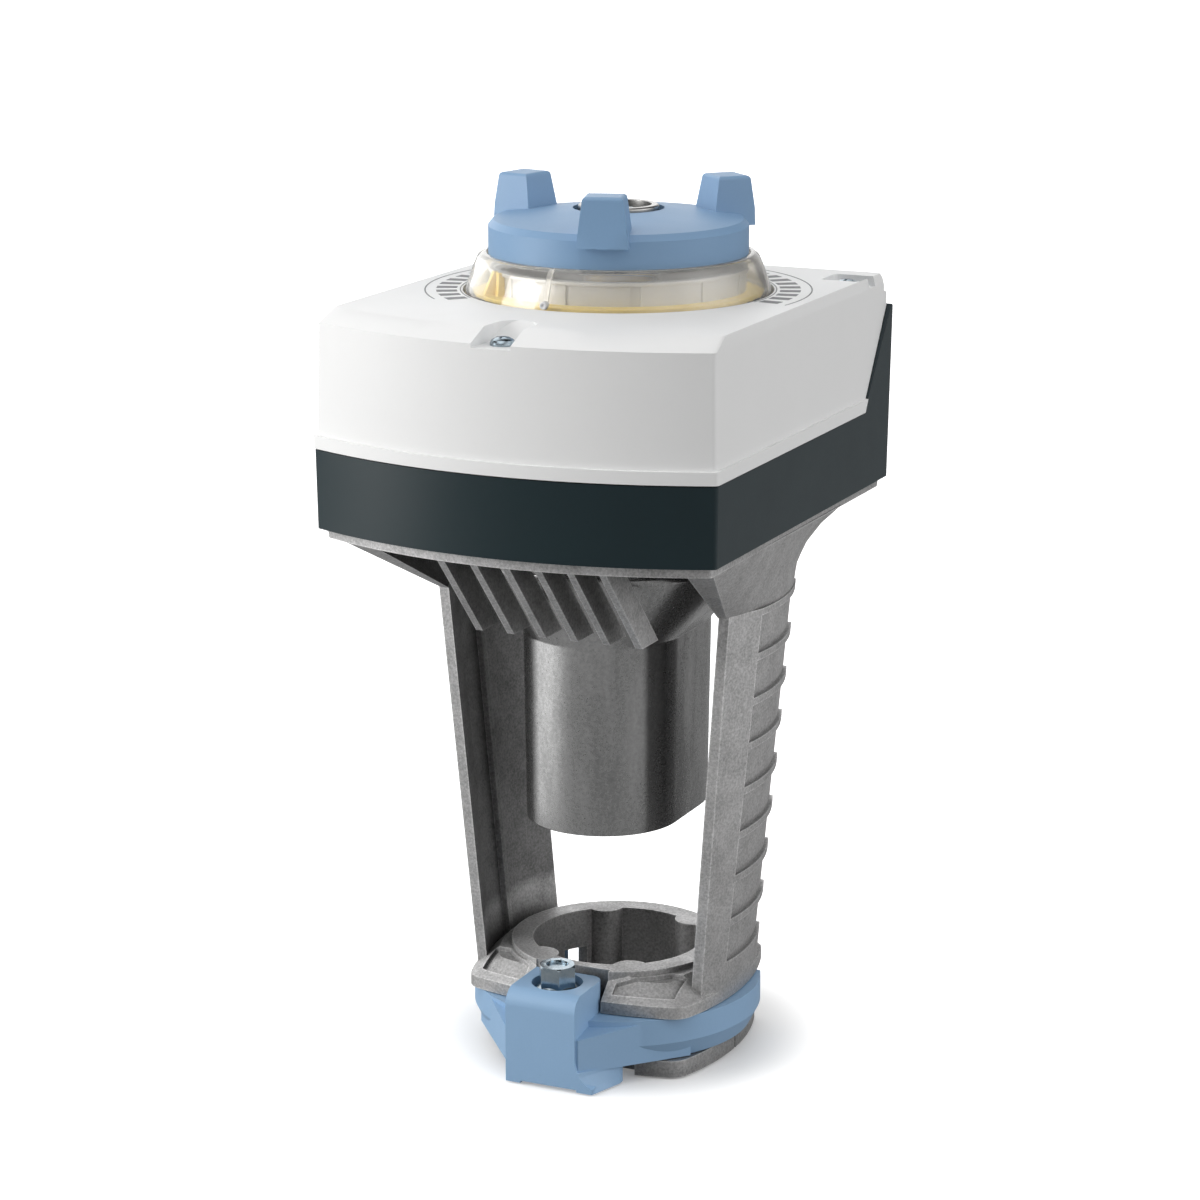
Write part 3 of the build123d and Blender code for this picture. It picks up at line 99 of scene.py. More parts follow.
def setUpLamps():
    for name, place, target, width, height, watts, tint in studioLights:
        lamp = bpy.data.lights.new(name, "AREA")
        lamp.shape = "RECTANGLE"
        lamp.size = width
        lamp.size_y = height
        lamp.energy = watts
        lamp.color = tint
        holder = bpy.data.objects.new(name, lamp)
        bpy.context.scene.collection.objects.link(holder)
        holder.location = place
        aimAt(holder, target)


def setUpRoom():
    # the room is seen white and lights the part from a few soft patches
    world = bpy.data.worlds.new("paleRoom")
    world.use_nodes = True
    tree = world.node_tree
    sky = tree.nodes["Background"]
    sky.inputs["Color"].default_value = (*viewSettings["skyTone"], 1)
    place = addNode(tree, "ShaderNodeTexCoord")
    total = None
    for azimuth, height, start, full, strength in roomPatches:
        turn, rise = math.radians(azimuth), math.radians(height)
        middle = (math.cos(rise) * math.cos(turn), math.cos(rise) * math.sin(turn), math.sin(rise))
        facing = addNode(tree, "ShaderNodeVectorMath", {1: middle}, operation="DOT_PRODUCT")
        patch = addNode(tree, "ShaderNodeMapRange",
                        {"From Min": start, "From Max": full, "To Max": strength},
                        interpolation_type="SMOOTHSTEP")
        wire(tree, (place.outputs["Generated"], facing.inputs[0]),
             (facing.outputs["Value"], patch.inputs["Value"]))
        if total is None:
            total = patch.outputs["Result"]
        else:
            added = addNode(tree, "ShaderNodeMath", operation="ADD")
            wire(tree, (total, added.inputs[0]), (patch.outputs["Result"], added.inputs[1]))
            total = added.outputs["Value"]
    rays = addNode(tree, "ShaderNodeLightPath")
    seen = addNode(tree, "ShaderNodeMix", {"B": viewSettings["skySeen"]}, data_type="FLOAT")
    wire(tree, (rays.outputs["Is Camera Ray"], seen.inputs["Factor"]), (total, seen.inputs["A"]),
         (seen.outputs["Result"], sky.inputs["Strength"]))
    bpy.context.scene.world = world


# small helpers for modelling

def clearSelection():
    if bpy.context.object and bpy.context.object.mode != "OBJECT":
        bpy.ops.object.mode_set(mode="OBJECT")
    bpy.ops.object.select_all(action="DESELECT")


def pick(thing):
    clearSelection()
    thing.select_set(True)
    bpy.context.view_layer.objects.active = thing


def settle(thing, name):
    pick(thing)
    bpy.ops.object.transform_apply(location=True, rotation=True, scale=True)
    thing.name = name
    return thing


def softenEdges(thing, width, segments, angle=30):
    pick(thing)
    soft = thing.modifiers.new("softEdges", "BEVEL")
    soft.width = width
    soft.segments = segments
    soft.limit_method = "ANGLE"
    soft.angle_limit = math.radians(angle)
    bpy.ops.object.modifier_apply(modifier="softEdges")


def selectFaces(thing, wanted):
    # in edit mode before and after, with only the faces for which wanted says so selected
    bpy.ops.mesh.select_mode(type="FACE")
    bpy.ops.mesh.select_all(action="DESELECT")
    bpy.ops.object.mode_set(mode="OBJECT")
    for face in thing.data.polygons:
        face.select = wanted(face)
    bpy.ops.object.mode_set(mode="EDIT")


# shader groups that several finishes share

def startGroup(name, inputs, outputs):
    group = bpy.data.node_groups.new(name, "ShaderNodeTree")
    for title, kind, value in inputs:
        socket = group.interface.new_socket(name=title, in_out="INPUT", socket_type="NodeSocket" + kind)
        socket.default_value = value
    for title, kind in outputs:
        group.interface.new_socket(name=title, in_out="OUTPUT", socket_type="NodeSocket" + kind)
    return group, addNode(group, "NodeGroupInput"), addNode(group, "NodeGroupOutput")


mottleShape = {
    "broadDetail": 6.0,
    "broadRoughness": 0.62,
    "broadRange": (0.32, 0.68),
    "fineDetail": 3.0,
    "fineRoughness": 0.7,
    "fineRange": (0.36, 0.64),
}


def makeMottleGroup():
    # broad patches with fine speckle between a dark and a light tone
    shape = mottleShape
    group, source, result = startGroup("mottledTone", [
        ("Light Tone", "Color", (0.7, 0.7, 0.7, 1)),
        ("Dark Tone", "Color", (0.4, 0.4, 0.4, 1)),
        ("Patch Scale", "Float", 90.0),
        ("Speckle Scale", "Float", 900.0),
        ("Speckle", "Float", 0.3),
        ("Stretch", "Vector", (1, 1, 1)),
    ], [("Tone", "Color"), ("Patches", "Float")])
    place = addNode(group, "ShaderNodeTexCoord")
    drawn = addNode(group, "ShaderNodeVectorMath", operation="MULTIPLY")
    broad = addNode(group, "ShaderNodeTexNoise",
                    {"Detail": shape["broadDetail"], "Roughness": shape["broadRoughness"]})
    fine = addNode(group, "ShaderNodeTexNoise",
                   {"Detail": shape["fineDetail"], "Roughness": shape["fineRoughness"]})
    broadRamp = addNode(group, "ShaderNodeMapRange",
                        {"From Min": shape["broadRange"][0], "From Max": shape["broadRange"][1]})
    fineRamp = addNode(group, "ShaderNodeMapRange",
                       {"From Min": shape["fineRange"][0], "From Max": shape["fineRange"][1]})
    blend = addNode(group, "ShaderNodeMix", data_type="FLOAT")
    tone = addNode(group, "ShaderNodeMix", data_type="RGBA")
    wire(group,
         (place.outputs["Object"], drawn.inputs[0]),
         (source.outputs["Stretch"], drawn.inputs[1]),
         (drawn.outputs["Vector"], broad.inputs["Vector"]),
         (place.outputs["Object"], fine.inputs["Vector"]),
         (source.outputs["Patch Scale"], broad.inputs["Scale"]),
         (source.outputs["Speckle Scale"], fine.inputs["Scale"]),
         (broad.outputs["Fac"], broadRamp.inputs["Value"]),
         (fine.outputs["Fac"], fineRamp.inputs["Value"]),
         (source.outputs["Speckle"], blend.inputs["Factor"]),
         (broadRamp.outputs["Result"], blend.inputs["A"]),
         (fineRamp.outputs["Result"], blend.inputs["B"]),
         (blend.outputs["Result"], tone.inputs["Factor"]),
         (source.outputs["Dark Tone"], tone.inputs["A"]),
         (source.outputs["Light Tone"], tone.inputs["B"]),
         (tone.outputs["Result"], result.inputs["Tone"]),
         (blend.outputs["Result"], result.inputs["Patches"]))
    return group


grainDetail = {"Fine": 2.0, "Broad": 4.0}


def makeGrainGroup():
    # height in millimetres of a fine and a broad grain
    group, source, result = startGroup("surfaceGrain", [
        ("Fine Scale", "Float", 1500.0),
        ("Fine Depth", "Float", 0.02),
        ("Broad Scale", "Float", 120.0),
        ("Broad Depth", "Float", 0.02),
    ], [("Height", "Float")])
    place = addNode(group, "ShaderNodeTexCoord")
    total = addNode(group, "ShaderNodeMath", operation="ADD")
    for slot, (kind, detail) in enumerate(grainDetail.items()):
        noise = addNode(group, "ShaderNodeTexNoise", {"Detail": detail})
        deep = addNode(group, "ShaderNodeMath", operation="MULTIPLY")
        wire(group,
             (place.outputs["Object"], noise.inputs["Vector"]),
             (source.outputs[kind + " Scale"], noise.inputs["Scale"]),
             (noise.outputs["Fac"], deep.inputs[0]),
             (source.outputs[kind + " Depth"], deep.inputs[1]),
             (deep.outputs["Value"], total.inputs[slot]))
    wire(group, (total.outputs["Value"], result.inputs["Height"]))
    return group


innerShape = {
    "facingRange": (-0.45, -0.05),   # cosine between the face and the way out from the axis
    "collarTop": (0.034, 0.044),     # the shade fades in between these heights
}


def makePaintedInnerShadeGroup():
    # painted shade: faces that look towards the part's axis, above the collar's top, are darkened
    group, source, result = startGroup("innerShade", [
        ("Tone", "Color", (0.5, 0.5, 0.5, 1)),
        ("Inner Share", "Float", 0.4),
    ], [("Tone", "Color")])
    place = addNode(group, "ShaderNodeTexCoord")
    level = addNode(group, "ShaderNodeVectorMath", {1: (1, 1, 0)}, operation="MULTIPLY")
    outward = addNode(group, "ShaderNodeVectorMath", operation="NORMALIZE")
    facing = addNode(group, "ShaderNodeVectorMath", operation="DOT_PRODUCT")
    share = addNode(group, "ShaderNodeMapRange",
                    {"From Min": innerShape["facingRange"][0], "From Max": innerShape["facingRange"][1],
                     "To Max": 1.0}, interpolation_type="SMOOTHSTEP")
    parts = addNode(group, "ShaderNodeSeparateXYZ")
    high = addNode(group, "ShaderNodeMapRange",
                   {"From Min": innerShape["collarTop"][0], "From Max": innerShape["collarTop"][1],
                    "To Min": 1.0, "To Max": 0.0}, interpolation_type="SMOOTHSTEP")
    shade = addNode(group, "ShaderNodeMath", operation="MAXIMUM")
    tone = addNode(group, "ShaderNodeVectorMath", operation="SCALE")
    wire(group,
         (place.outputs["Object"], level.inputs[0]),
         (level.outputs["Vector"], outward.inputs[0]),
         (outward.outputs["Vector"], facing.inputs[0]),
         (place.outputs["Normal"], facing.inputs[1]),
         (facing.outputs["Value"], share.inputs["Value"]),
         (source.outputs["Inner Share"], share.inputs["To Min"]),
         (place.outputs["Object"], parts.inputs["Vector"]),
         (parts.outputs["Z"], high.inputs["Value"]),
         (share.outputs["Result"], shade.inputs[0]),
         (high.outputs["Result"], shade.inputs[1]),
         (source.outputs["Tone"], tone.inputs[0]),
         (shade.outputs["Value"], tone.inputs["Scale"]),
         (tone.outputs["Vector"], result.inputs["Tone"]))
    return group


# reach, samples and ramp of the painted shade in recesses; radius, samples and ramp of the rubbed edges
recessShadeAndWearShape = {
    "recessReach": 0.012,
    "recessSamples": 6,
    "recessRange": (0.25, 0.85),
    "edgeRadius": 0.0007,
    "edgeSamples": 4,
    "edgeRange": (0.90, 0.995),
}


def makeCastShadeAndWearGroup():
    # recesses get painted shade, darker where the ambient occlusion finds them; edges are rubbed bright
    shape = recessShadeAndWearShape
    group, source, result = startGroup("castShadeAndWear", [
        ("Tone", "Color", (0.5, 0.5, 0.5, 1)),
        ("Recess Share", "Float", 0.45),
        ("Edge Gain", "Float", 1.5),
    ], [("Tone", "Color")])
    # painted shade: the ambient occlusion darkens the recesses
    exposed = addNode(group, "ShaderNodeAmbientOcclusion", {"Distance": shape["recessReach"]},
                      samples=shape["recessSamples"])
    recess = addNode(group, "ShaderNodeMapRange",
                     {"From Min": shape["recessRange"][0], "From Max": shape["recessRange"][1],
                      "To Max": 1.0})
    rounded = addNode(group, "ShaderNodeBevel", {"Radius": shape["edgeRadius"]},
                      samples=shape["edgeSamples"])
    surface = addNode(group, "ShaderNodeNewGeometry")
    alike = addNode(group, "ShaderNodeVectorMath", operation="DOT_PRODUCT")
    edge = addNode(group, "ShaderNodeMapRange",
                   {"From Min": shape["edgeRange"][0], "From Max": shape["edgeRange"][1], "To Max": 1.0})
    share = addNode(group, "ShaderNodeMath", operation="MULTIPLY")
    tone = addNode(group, "ShaderNodeVectorMath", operation="SCALE")
    wire(group,
         (exposed.outputs["AO"], recess.inputs["Value"]),
         (source.outputs["Recess Share"], recess.inputs["To Min"]),
         (rounded.outputs["Normal"], alike.inputs[0]),
         (surface.outputs["Normal"], alike.inputs[1]),
         (alike.outputs["Value"], edge.inputs["Value"]),
         (source.outputs["Edge Gain"], edge.inputs["To Min"]),
         (recess.outputs["Result"], share.inputs[0]),
         (edge.outputs["Result"], share.inputs[1]),
         (source.outputs["Tone"], tone.inputs[0]),
         (share.outputs["Value"], tone.inputs["Scale"]),
         (tone.outputs["Vector"], result.inputs["Tone"]))
    return group


mottledTone = makeMottleGroup()
castShadeAndWear = makeCastShadeAndWearGroup()
innerShade = makePaintedInnerShadeGroup()
surfaceGrain = makeGrainGroup()
print("shader groups made")

# light and dark tone, scale of the patches and of the speckle, share of the speckle, metal, roughness of
# the light and of the dark patches, scale and depth (millimetres) of the fine and of the broad grain; the
# casting also has the share of its tone kept on inner faces and in recesses, which is painted shade, and the
# gain on its rubbed edges, and the cup's patches are drawn out along its height
finishes = {
    "castMetal": dict(light=(0.68, 0.675, 0.675), dark=(0.34, 0.338, 0.338), patch=110, speckleScale=1300,
                      speckle=0.60, metal=0.80, rough=(0.42, 0.64), fine=(1900, 0.050), broad=(260, 0.060),
                      inner=0.46, shadeAndWear=(0.42, 1.55)),
    "cupMetal": dict(light=(0.56, 0.56, 0.558), dark=(0.31, 0.31, 0.31), patch=70, speckleScale=900,
                     speckle=0.40, metal=1.0, rough=(0.20, 0.32), fine=(3200, 0.003), broad=(160, 0.002),
                     stretch=(1.6, 1.6, 0.35)),
    "bluePaint": dict(light=(0.295, 0.470, 0.690), dark=(0.278, 0.448, 0.660), patch=60, speckleScale=1600,
                      speckle=0.4, metal=0.0, rough=(0.40, 0.50), fine=(2400, 0.012), broad=(300, 0.004)),
    "bluePlastic": dict(light=(0.214, 0.356, 0.545), dark=(0.203, 0.341, 0.525), patch=50, speckleScale=2000,
                        speckle=0.4, metal=0.0, rough=(0.42, 0.52), fine=(2800, 0.014), broad=(200, 0.002)),
    "whitePlastic": dict(light=(0.838, 0.840, 0.838), dark=(0.818, 0.820, 0.818), patch=30, speckleScale=2500,
                         speckle=0.4, metal=0.0, rough=(0.44, 0.54), fine=(3200, 0.010), broad=(90, 0.002)),
    "darkPlastic": dict(light=(0.0032, 0.0180, 0.0235), dark=(0.0026, 0.0150, 0.0198), patch=40,
                        speckleScale=2500, speckle=0.4, metal=0.0, rough=(0.27, 0.35), fine=(2600, 0.008),
                        broad=(60, 0.004)),
    "silverDrum": dict(light=(0.66, 0.66, 0.665), dark=(0.57, 0.57, 0.575), patch=40, speckleScale=1800,
                       speckle=0.4, metal=0.35, rough=(0.34, 0.44), fine=(2500, 0.006), broad=(90, 0.002)),
    "yellowPlastic": dict(light=(0.98, 0.74, 0.17), dark=(0.94, 0.69, 0.14), patch=40, speckleScale=2000,
                          speckle=0.4, metal=0.0, rough=(0.34, 0.42), fine=(2500, 0.006), broad=(90, 0.002)),
    "gearPlastic": dict(light=(0.78, 0.75, 0.66), dark=(0.70, 0.67, 0.58), patch=60, speckleScale=1800,
                        speckle=0.4, metal=0.0, rough=(0.40, 0.50), fine=(2500, 0.008), broad=(90, 0.002)),
    "turnedSteel": dict(light=(0.50, 0.495, 0.485), dark=(0.38, 0.375, 0.365), patch=120, speckleScale=1400,
                        speckle=0.4, metal=1.0, rough=(0.24, 0.36), fine=(2500, 0.008), broad=(200, 0.004)),
    "zincSteel": dict(light=(0.44, 0.51, 0.56), dark=(0.27, 0.34, 0.39), patch=260, speckleScale=1400,
                      speckle=0.35, metal=1.0, rough=(0.14, 0.28), fine=(2500, 0.010), broad=(300, 0.010)),
    "brassMetal": dict(light=(0.72, 0.54, 0.24), dark=(0.60, 0.43, 0.18), patch=120, speckleScale=1400,
                       speckle=0.4, metal=1.0, rough=(0.26, 0.40), fine=(2500, 0.008), broad=(200, 0.004)),
    "sealRubber": dict(light=(0.022, 0.022, 0.023), dark=(0.016, 0.016, 0.017), patch=80, speckleScale=1500,
                       speckle=0.4, metal=0.0, rough=(0.60, 0.72), fine=(1800, 0.012), broad=(200, 0.006)),
    "canSteel": dict(light=(0.46, 0.47, 0.475), dark=(0.38, 0.39, 0.395), patch=90, speckleScale=1400,
                     speckle=0.4, metal=0.9, rough=(0.32, 0.44), fine=(2200, 0.010), broad=(160, 0.006)),
    "boardGreen": dict(light=(0.020, 0.135, 0.060), dark=(0.014, 0.105, 0.045), patch=120, speckleScale=1500,
                       speckle=0.4, metal=0.0, rough=(0.30, 0.42), fine=(2000, 0.010), broad=(300, 0.006)),
    "printGrey": dict(light=(0.190, 0.195, 0.200), dark=(0.150, 0.155, 0.160), patch=200, speckleScale=2500,
                      speckle=0.5, metal=0.0, rough=(0.50, 0.60), fine=(2600, 0.006), broad=(300, 0.002)),
    "greyMoulding": dict(light=(0.060, 0.066, 0.072), dark=(0.045, 0.050, 0.055), patch=80, speckleScale=1500,
                         speckle=0.4, metal=0.0, rough=(0.44, 0.54), fine=(2200, 0.012), broad=(200, 0.004)),
    "copperWinding": dict(light=(0.62, 0.27, 0.13), dark=(0.48, 0.19, 0.09), patch=200, speckleScale=1200,
                          speckle=0.4, metal=0.9, rough=(0.30, 0.42), fine=(1500, 0.030), broad=(400, 0.020)),
}


def addGroup(tree, group, inputs):
    return addNode(tree, "ShaderNodeGroup", inputs, node_tree=group)


def makeFinish(name):
    look = finishes[name]
    material = bpy.data.materials.new(name)
    material.use_nodes = True
    tree = material.node_tree
    surface = tree.nodes["Principled BSDF"]
    surface.inputs["Metallic"].default_value = look["metal"]
    mottle = addGroup(tree, mottledTone, {
        "Light Tone": (*look["light"], 1), "Dark Tone": (*look["dark"], 1),
        "Patch Scale": look["patch"], "Speckle Scale": look["speckleScale"],
        "Speckle": look["speckle"], "Stretch": look.get("stretch", (1, 1, 1)),
    })
    gloss = addNode(tree, "ShaderNodeMapRange", {"To Min": look["rough"][1], "To Max": look["rough"][0]})
    grain = addGroup(tree, surfaceGrain, {
        "Fine Scale": look["fine"][0], "Fine Depth": look["fine"][1],
        "Broad Scale": look["broad"][0], "Broad Depth": look["broad"][1],
    })
    bump = addNode(tree, "ShaderNodeBump", {"Strength": 1.0, "Distance": 0.001})   # grain is in millimetres
    toned = mottle.outputs["Tone"]
    # painted shade on the casting's inner faces
    if "inner" in look:
        shade = addGroup(tree, innerShade, {"Inner Share": look["inner"]})
        wire(tree, (toned, shade.inputs["Tone"]))
        toned = shade.outputs["Tone"]
    # painted shade in the recesses, and rubbed bright edges
    if "shadeAndWear" in look:
        shadedAndWorn = addGroup(tree, castShadeAndWear, {"Recess Share": look["shadeAndWear"][0], "Edge Gain": look["shadeAndWear"][1]})
        wire(tree, (toned, shadedAndWorn.inputs["Tone"]))
        toned = shadedAndWorn.outputs["Tone"]
    wire(tree,
         (toned, surface.inputs["Base Color"]),
         (mottle.outputs["Patches"], gloss.inputs["Value"]),
         (gloss.outputs["Result"], surface.inputs["Roughness"]),
         (grain.outputs["Height"], bump.inputs["Height"]),
         (bump.outputs["Normal"], surface.inputs["Normal"]))
    return material


clearLook = {
    "tone": (0.985, 0.970, 0.940),
    "darkShare": (0.98, 0.98, 0.97),
    "patch": 30,
    "roughness": 0.05,
    "dullRoughness": 0.075,
    "clear": 0.90,
    "shadow": 0.20,       # how much the window shades what is behind it
    "ior": 1.49,
}


def makeClearPlastic():
    look = clearLook
    material = bpy.data.materials.new("clearPlastic")
    material.use_nodes = True
    tree = material.node_tree
    surface = tree.nodes["Principled BSDF"]
    surface.inputs["Transmission Weight"].default_value = look["clear"]
    surface.inputs["IOR"].default_value = look["ior"]
    darker = [tone * share for tone, share in zip(look["tone"], look["darkShare"])]
    mottle = addGroup(tree, mottledTone, {
        "Light Tone": (*look["tone"], 1), "Dark Tone": (*darker, 1), "Patch Scale": look["patch"],
    })
    gloss = addNode(tree, "ShaderNodeMapRange",
                    {"To Min": look["dullRoughness"], "To Max": look["roughness"]})
    rays = addNode(tree, "ShaderNodeLightPath")
    # light passes through to the dial behind it
    cover = addNode(tree, "ShaderNodeMix", {"A": 1.0, "B": look["shadow"]}, data_type="FLOAT")
    wire(tree,
         (mottle.outputs["Tone"], surface.inputs["Base Color"]),
         (mottle.outputs["Patches"], gloss.inputs["Value"]),
         (gloss.outputs["Result"], surface.inputs["Roughness"]),
         (rays.outputs["Is Shadow Ray"], cover.inputs["Factor"]),
         (cover.outputs["Result"], surface.inputs["Alpha"]))
    return material


materials = {name: makeFinish(name) for name in finishes}
materials["clearPlastic"] = makeClearPlastic()
print("materials made:", len(materials))

nodeFinish = {
    "yoke_casting": "castMetal", "spindle_housing": "cupMetal", "spindle_seal": "sealRubber",
    "lower_bearing": "turnedSteel", "base_shell": "darkPlastic", "cover_gasket": "sealRubber",
    "cover_shell": "whitePlastic", "cover_screws": "zincSteel", "yoke_screws": "zincSteel",
    "window_ring": "clearPlastic", "window_seal": "sealRubber", "retaining_ring": "greyMoulding",
    "retainer_screws": "zincSteel", "dial_drum": "silverDrum", "dial_gear": "gearPlastic",
    "indicator_ring": "yellowPlastic", "handwheel": "bluePlastic", "handwheel_hub": "turnedSteel",
    "handwheel_shaft": "brassMetal", "hub_screw": "zincSteel", "press_washer": "turnedSteel",
    "press_spring": "turnedSteel", "dial_plate": "greyMoulding", "gear_plate": "turnedSteel",
    "plate_pillars": "turnedSteel", "upper_bush": "brassMetal", "drive_gear": "gearPlastic",
    "reducer_gear": "gearPlastic", "motor_pinion": "brassMetal", "motor_body": "canSteel",
    "dial_idler": "gearPlastic", "gear_axles": "turnedSteel", "spindle": "turnedSteel",
    "stem_coupling": "turnedSteel", "coupling_screw": "zincSteel", "guide_plate": "turnedSteel",
    "guide_clips": "turnedSteel", "circuit_board": "boardGreen", "terminal_block": "greyMoulding",
    "capacitor": "canSteel", "transformer_core": "canSteel", "transformer_winding": "copperWinding",
    "limit_switches": "greyMoulding", "blanking_plugs": "darkPlastic", "clamp_bracket": "bluePaint",
    "clamp_nut": "zincSteel", "clamp_washer": "zincSteel", "clamp_bolt": "zincSteel",
}

# radius in millimetres of the soft edge that the moulding or casting leaves
edgeSoftness = {
    "yoke_casting": 0.35, "spindle_housing": 0.35, "base_shell": 0.35, "cover_shell": 0.5,
    "handwheel": 0.5, "clamp_bracket": 0.5, "window_ring": 0.25, "dial_drum": 0.3,
    "indicator_ring": 0.2, "handwheel_hub": 0.2, "clamp_bolt": 0.2, "cover_screws": 0.15,
    "yoke_screws": 0.2, "blanking_plugs": 0.3, "stem_coupling": 0.2, "clamp_washer": 0.12,
}

# least angle in degrees between two faces that makes an edge, where it isn't the usual one
edgeAngles = {"yoke_casting": 17, "spindle_housing": 12, "clamp_bracket": 20}
usualEdgeAngle = 28

softEdge = {
    "weldReach": 0.000002,
    "segments": 2,
    "faceWeight": 60,
}


def finishNode(name):
    thing = cadNodes[name]
    material = materials[nodeFinish[name]]
    if not thing.data.materials:
        thing.data.materials.append(material)
    for index in range(len(thing.data.materials)):
        thing.data.materials[index] = material
    if name in edgeSoftness:
        weld = thing.modifiers.new("joinFaces", "WELD")
        weld.merge_threshold = softEdge["weldReach"]
        soft = thing.modifiers.new("softEdges", "BEVEL")
        soft.width = edgeSoftness[name] / 1000
        soft.segments = softEdge["segments"]
        soft.limit_method = "ANGLE"
        soft.angle_limit = math.radians(edgeAngles.get(name, usualEdgeAngle))
        soft.use_clamp_overlap = True
        soft.harden_normals = False
        even = thing.modifiers.new("evenShading", "WEIGHTED_NORMAL")
        even.keep_sharp = False
        even.weight = softEdge["faceWeight"]


for name in nodeFinish:
    finishNode(name)
print("finishes on the CAD nodes")


def flatRing(name, inner, outer, height, thickness, step, keep):
    # ring of flat tiles, step degrees wide; keep says which tiles stay
    clearSelection()
    bpy.ops.mesh.primitive_circle_add(vertices=round(360 / step), radius=outer, fill_type="NOTHING",
                                      location=(0, 0, 0), rotation=(0, 0, math.radians(step / 2)))
    ring = settle(bpy.context.object, name)
    bpy.ops.object.mode_set(mode="EDIT")
    bpy.ops.mesh.select_all(action="SELECT")
    bpy.ops.mesh.extrude_edges_move()
    bpy.ops.transform.resize(value=(inner / outer, inner / outer, 1), center_override=(0, 0, 0))

    def isGap(face):
        return not keep(math.degrees(math.atan2(face.center.y, face.center.x)) % 360)
    selectFaces(ring, isGap)
    bpy.ops.mesh.delete(type="FACE")
    bpy.ops.mesh.select_all(action="SELECT")
    bpy.ops.mesh.normals_make_consistent(inside=False)
    bpy.ops.mesh.extrude_region_move(TRANSFORM_OT_translate={"value": (0, 0, thickness)})
    bpy.ops.mesh.select_all(action="SELECT")
    bpy.ops.mesh.normals_make_consistent(inside=False)
    bpy.ops.transform.translate(value=(0, 0, height))
    bpy.ops.object.mode_set(mode="OBJECT")
    return ring


def joinPieces(pieces, name):
    clearSelection()
    for piece in pieces:
        piece.select_set(True)
    bpy.context.view_layer.objects.active = pieces[0]
    bpy.ops.object.join()
    return settle(bpy.context.object, name)


def dress(thing, finish, body):
    thing.data.materials.clear()
    thing.data.materials.append(materials[finish])
    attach(thing, body)


# printed scale round the window: blocks between two lines, angles in degrees
dialScale = {
    "height": 0.22890,
    "ink": 0.00006,
    "blockInner": 0.0470,
    "blockOuter": 0.0530,
    "blockStep": 4.0,
    "lineStep": 2.0,
    "firstAngle": -10.0,
    "lastAngle": 226.0,
    "innerLine": (0.0458, 0.0461),
    "outerLine": (0.0560, 0.0564),
}


def makeDialScale():
    look = dialScale

    def inSpan(angle):
        return (angle - look["firstAngle"]) % 360 <= look["lastAngle"] - look["firstAngle"]

    def isBlock(angle):
        return inSpan(angle) and int(angle / look["blockStep"]) % 2 == 0
    blocks = flatRing("scaleBlocks", look["blockInner"], look["blockOuter"], look["height"],
                      look["ink"], look["blockStep"], isBlock)
    inner = flatRing("scaleInner", *look["innerLine"], look["height"], look["ink"], look["lineStep"], inSpan)
    outer = flatRing("scaleOuter", *look["outerLine"], look["height"], look["ink"], look["lineStep"], inSpan)
    scale = joinPieces([blocks, inner, outer], "dialScale")
    dress(scale, "printGrey", "frame")


makeDialScale()
print("printed scale made")

# thin plates that divide the drum into segments, angles in degrees
drumPlates = {
    "radius": 0.0363,
    "sunk": 0.0001,
    "proud": 0.0005,
    "low": 0.2262,
    "high": 0.2352,
    "count": 12,
    "gap": 3.0,
    "tileStep": 1.5,
    "soft": 0.00015,
    "softSegments": 2,
}


def makeDrumPlates():
    look = drumPlates
    pitch = 360 / look["count"]

    def isPlate(angle):
        return (angle % pitch) > look["gap"]
    plates = flatRing("drumPlates", look["radius"] - look["sunk"], look["radius"] + look["proud"],
                      look["low"], look["high"] - look["low"], look["tileStep"], isPlate)
    softenEdges(plates, look["soft"], look["softSegments"])
    dress(plates, "silverDrum", "dial")


makeDrumPlates()

drumFlange = {
    "inner": 0.0362,
    "outer": 0.0374,
    "low": 0.2350,
    "high": 0.2360,
    "tileStep": 2.0,
    "soft": 0.0002,
    "softSegments": 3,
}


def makeDrumFlange():
    look = drumFlange
    flange = flatRing("drumFlange", look["inner"], look["outer"], look["low"],
                      look["high"] - look["low"], look["tileStep"], lambda angle: True)
    softenEdges(flange, look["soft"], look["softSegments"])
    dress(flange, "silverDrum", "dial")


makeDrumFlange()
print("drum plates and flange made")

# moulded rib that follows the window's outside from its foot to its rim: corners as radius and height
windowJoint = {
    "angle": -93.5,
    "width": 0.0017,
    "proud": 0.00045,
    "sunk": 0.0005,
    "corners": [(0.04455, 0.22902), (0.04200, 0.23630), (0.04100, 0.23850), (0.03950, 0.23980)],
    "topSlack": 0.000001,     # how far below the highest face another still counts as the top
    "soft": 0.0003,
    "softSegments": 3,
    "softAngle": 50,
    "smoothAngle": 40,
}


def selectTop(thing):
    bpy.ops.object.mode_set(mode="OBJECT")   # leaving edit mode brings the mesh up to date
    least = max(face.center.z for face in thing.data.polygons) - windowJoint["topSlack"]
    bpy.ops.object.mode_set(mode="EDIT")
    selectFaces(thing, lambda face: face.center.z > least)


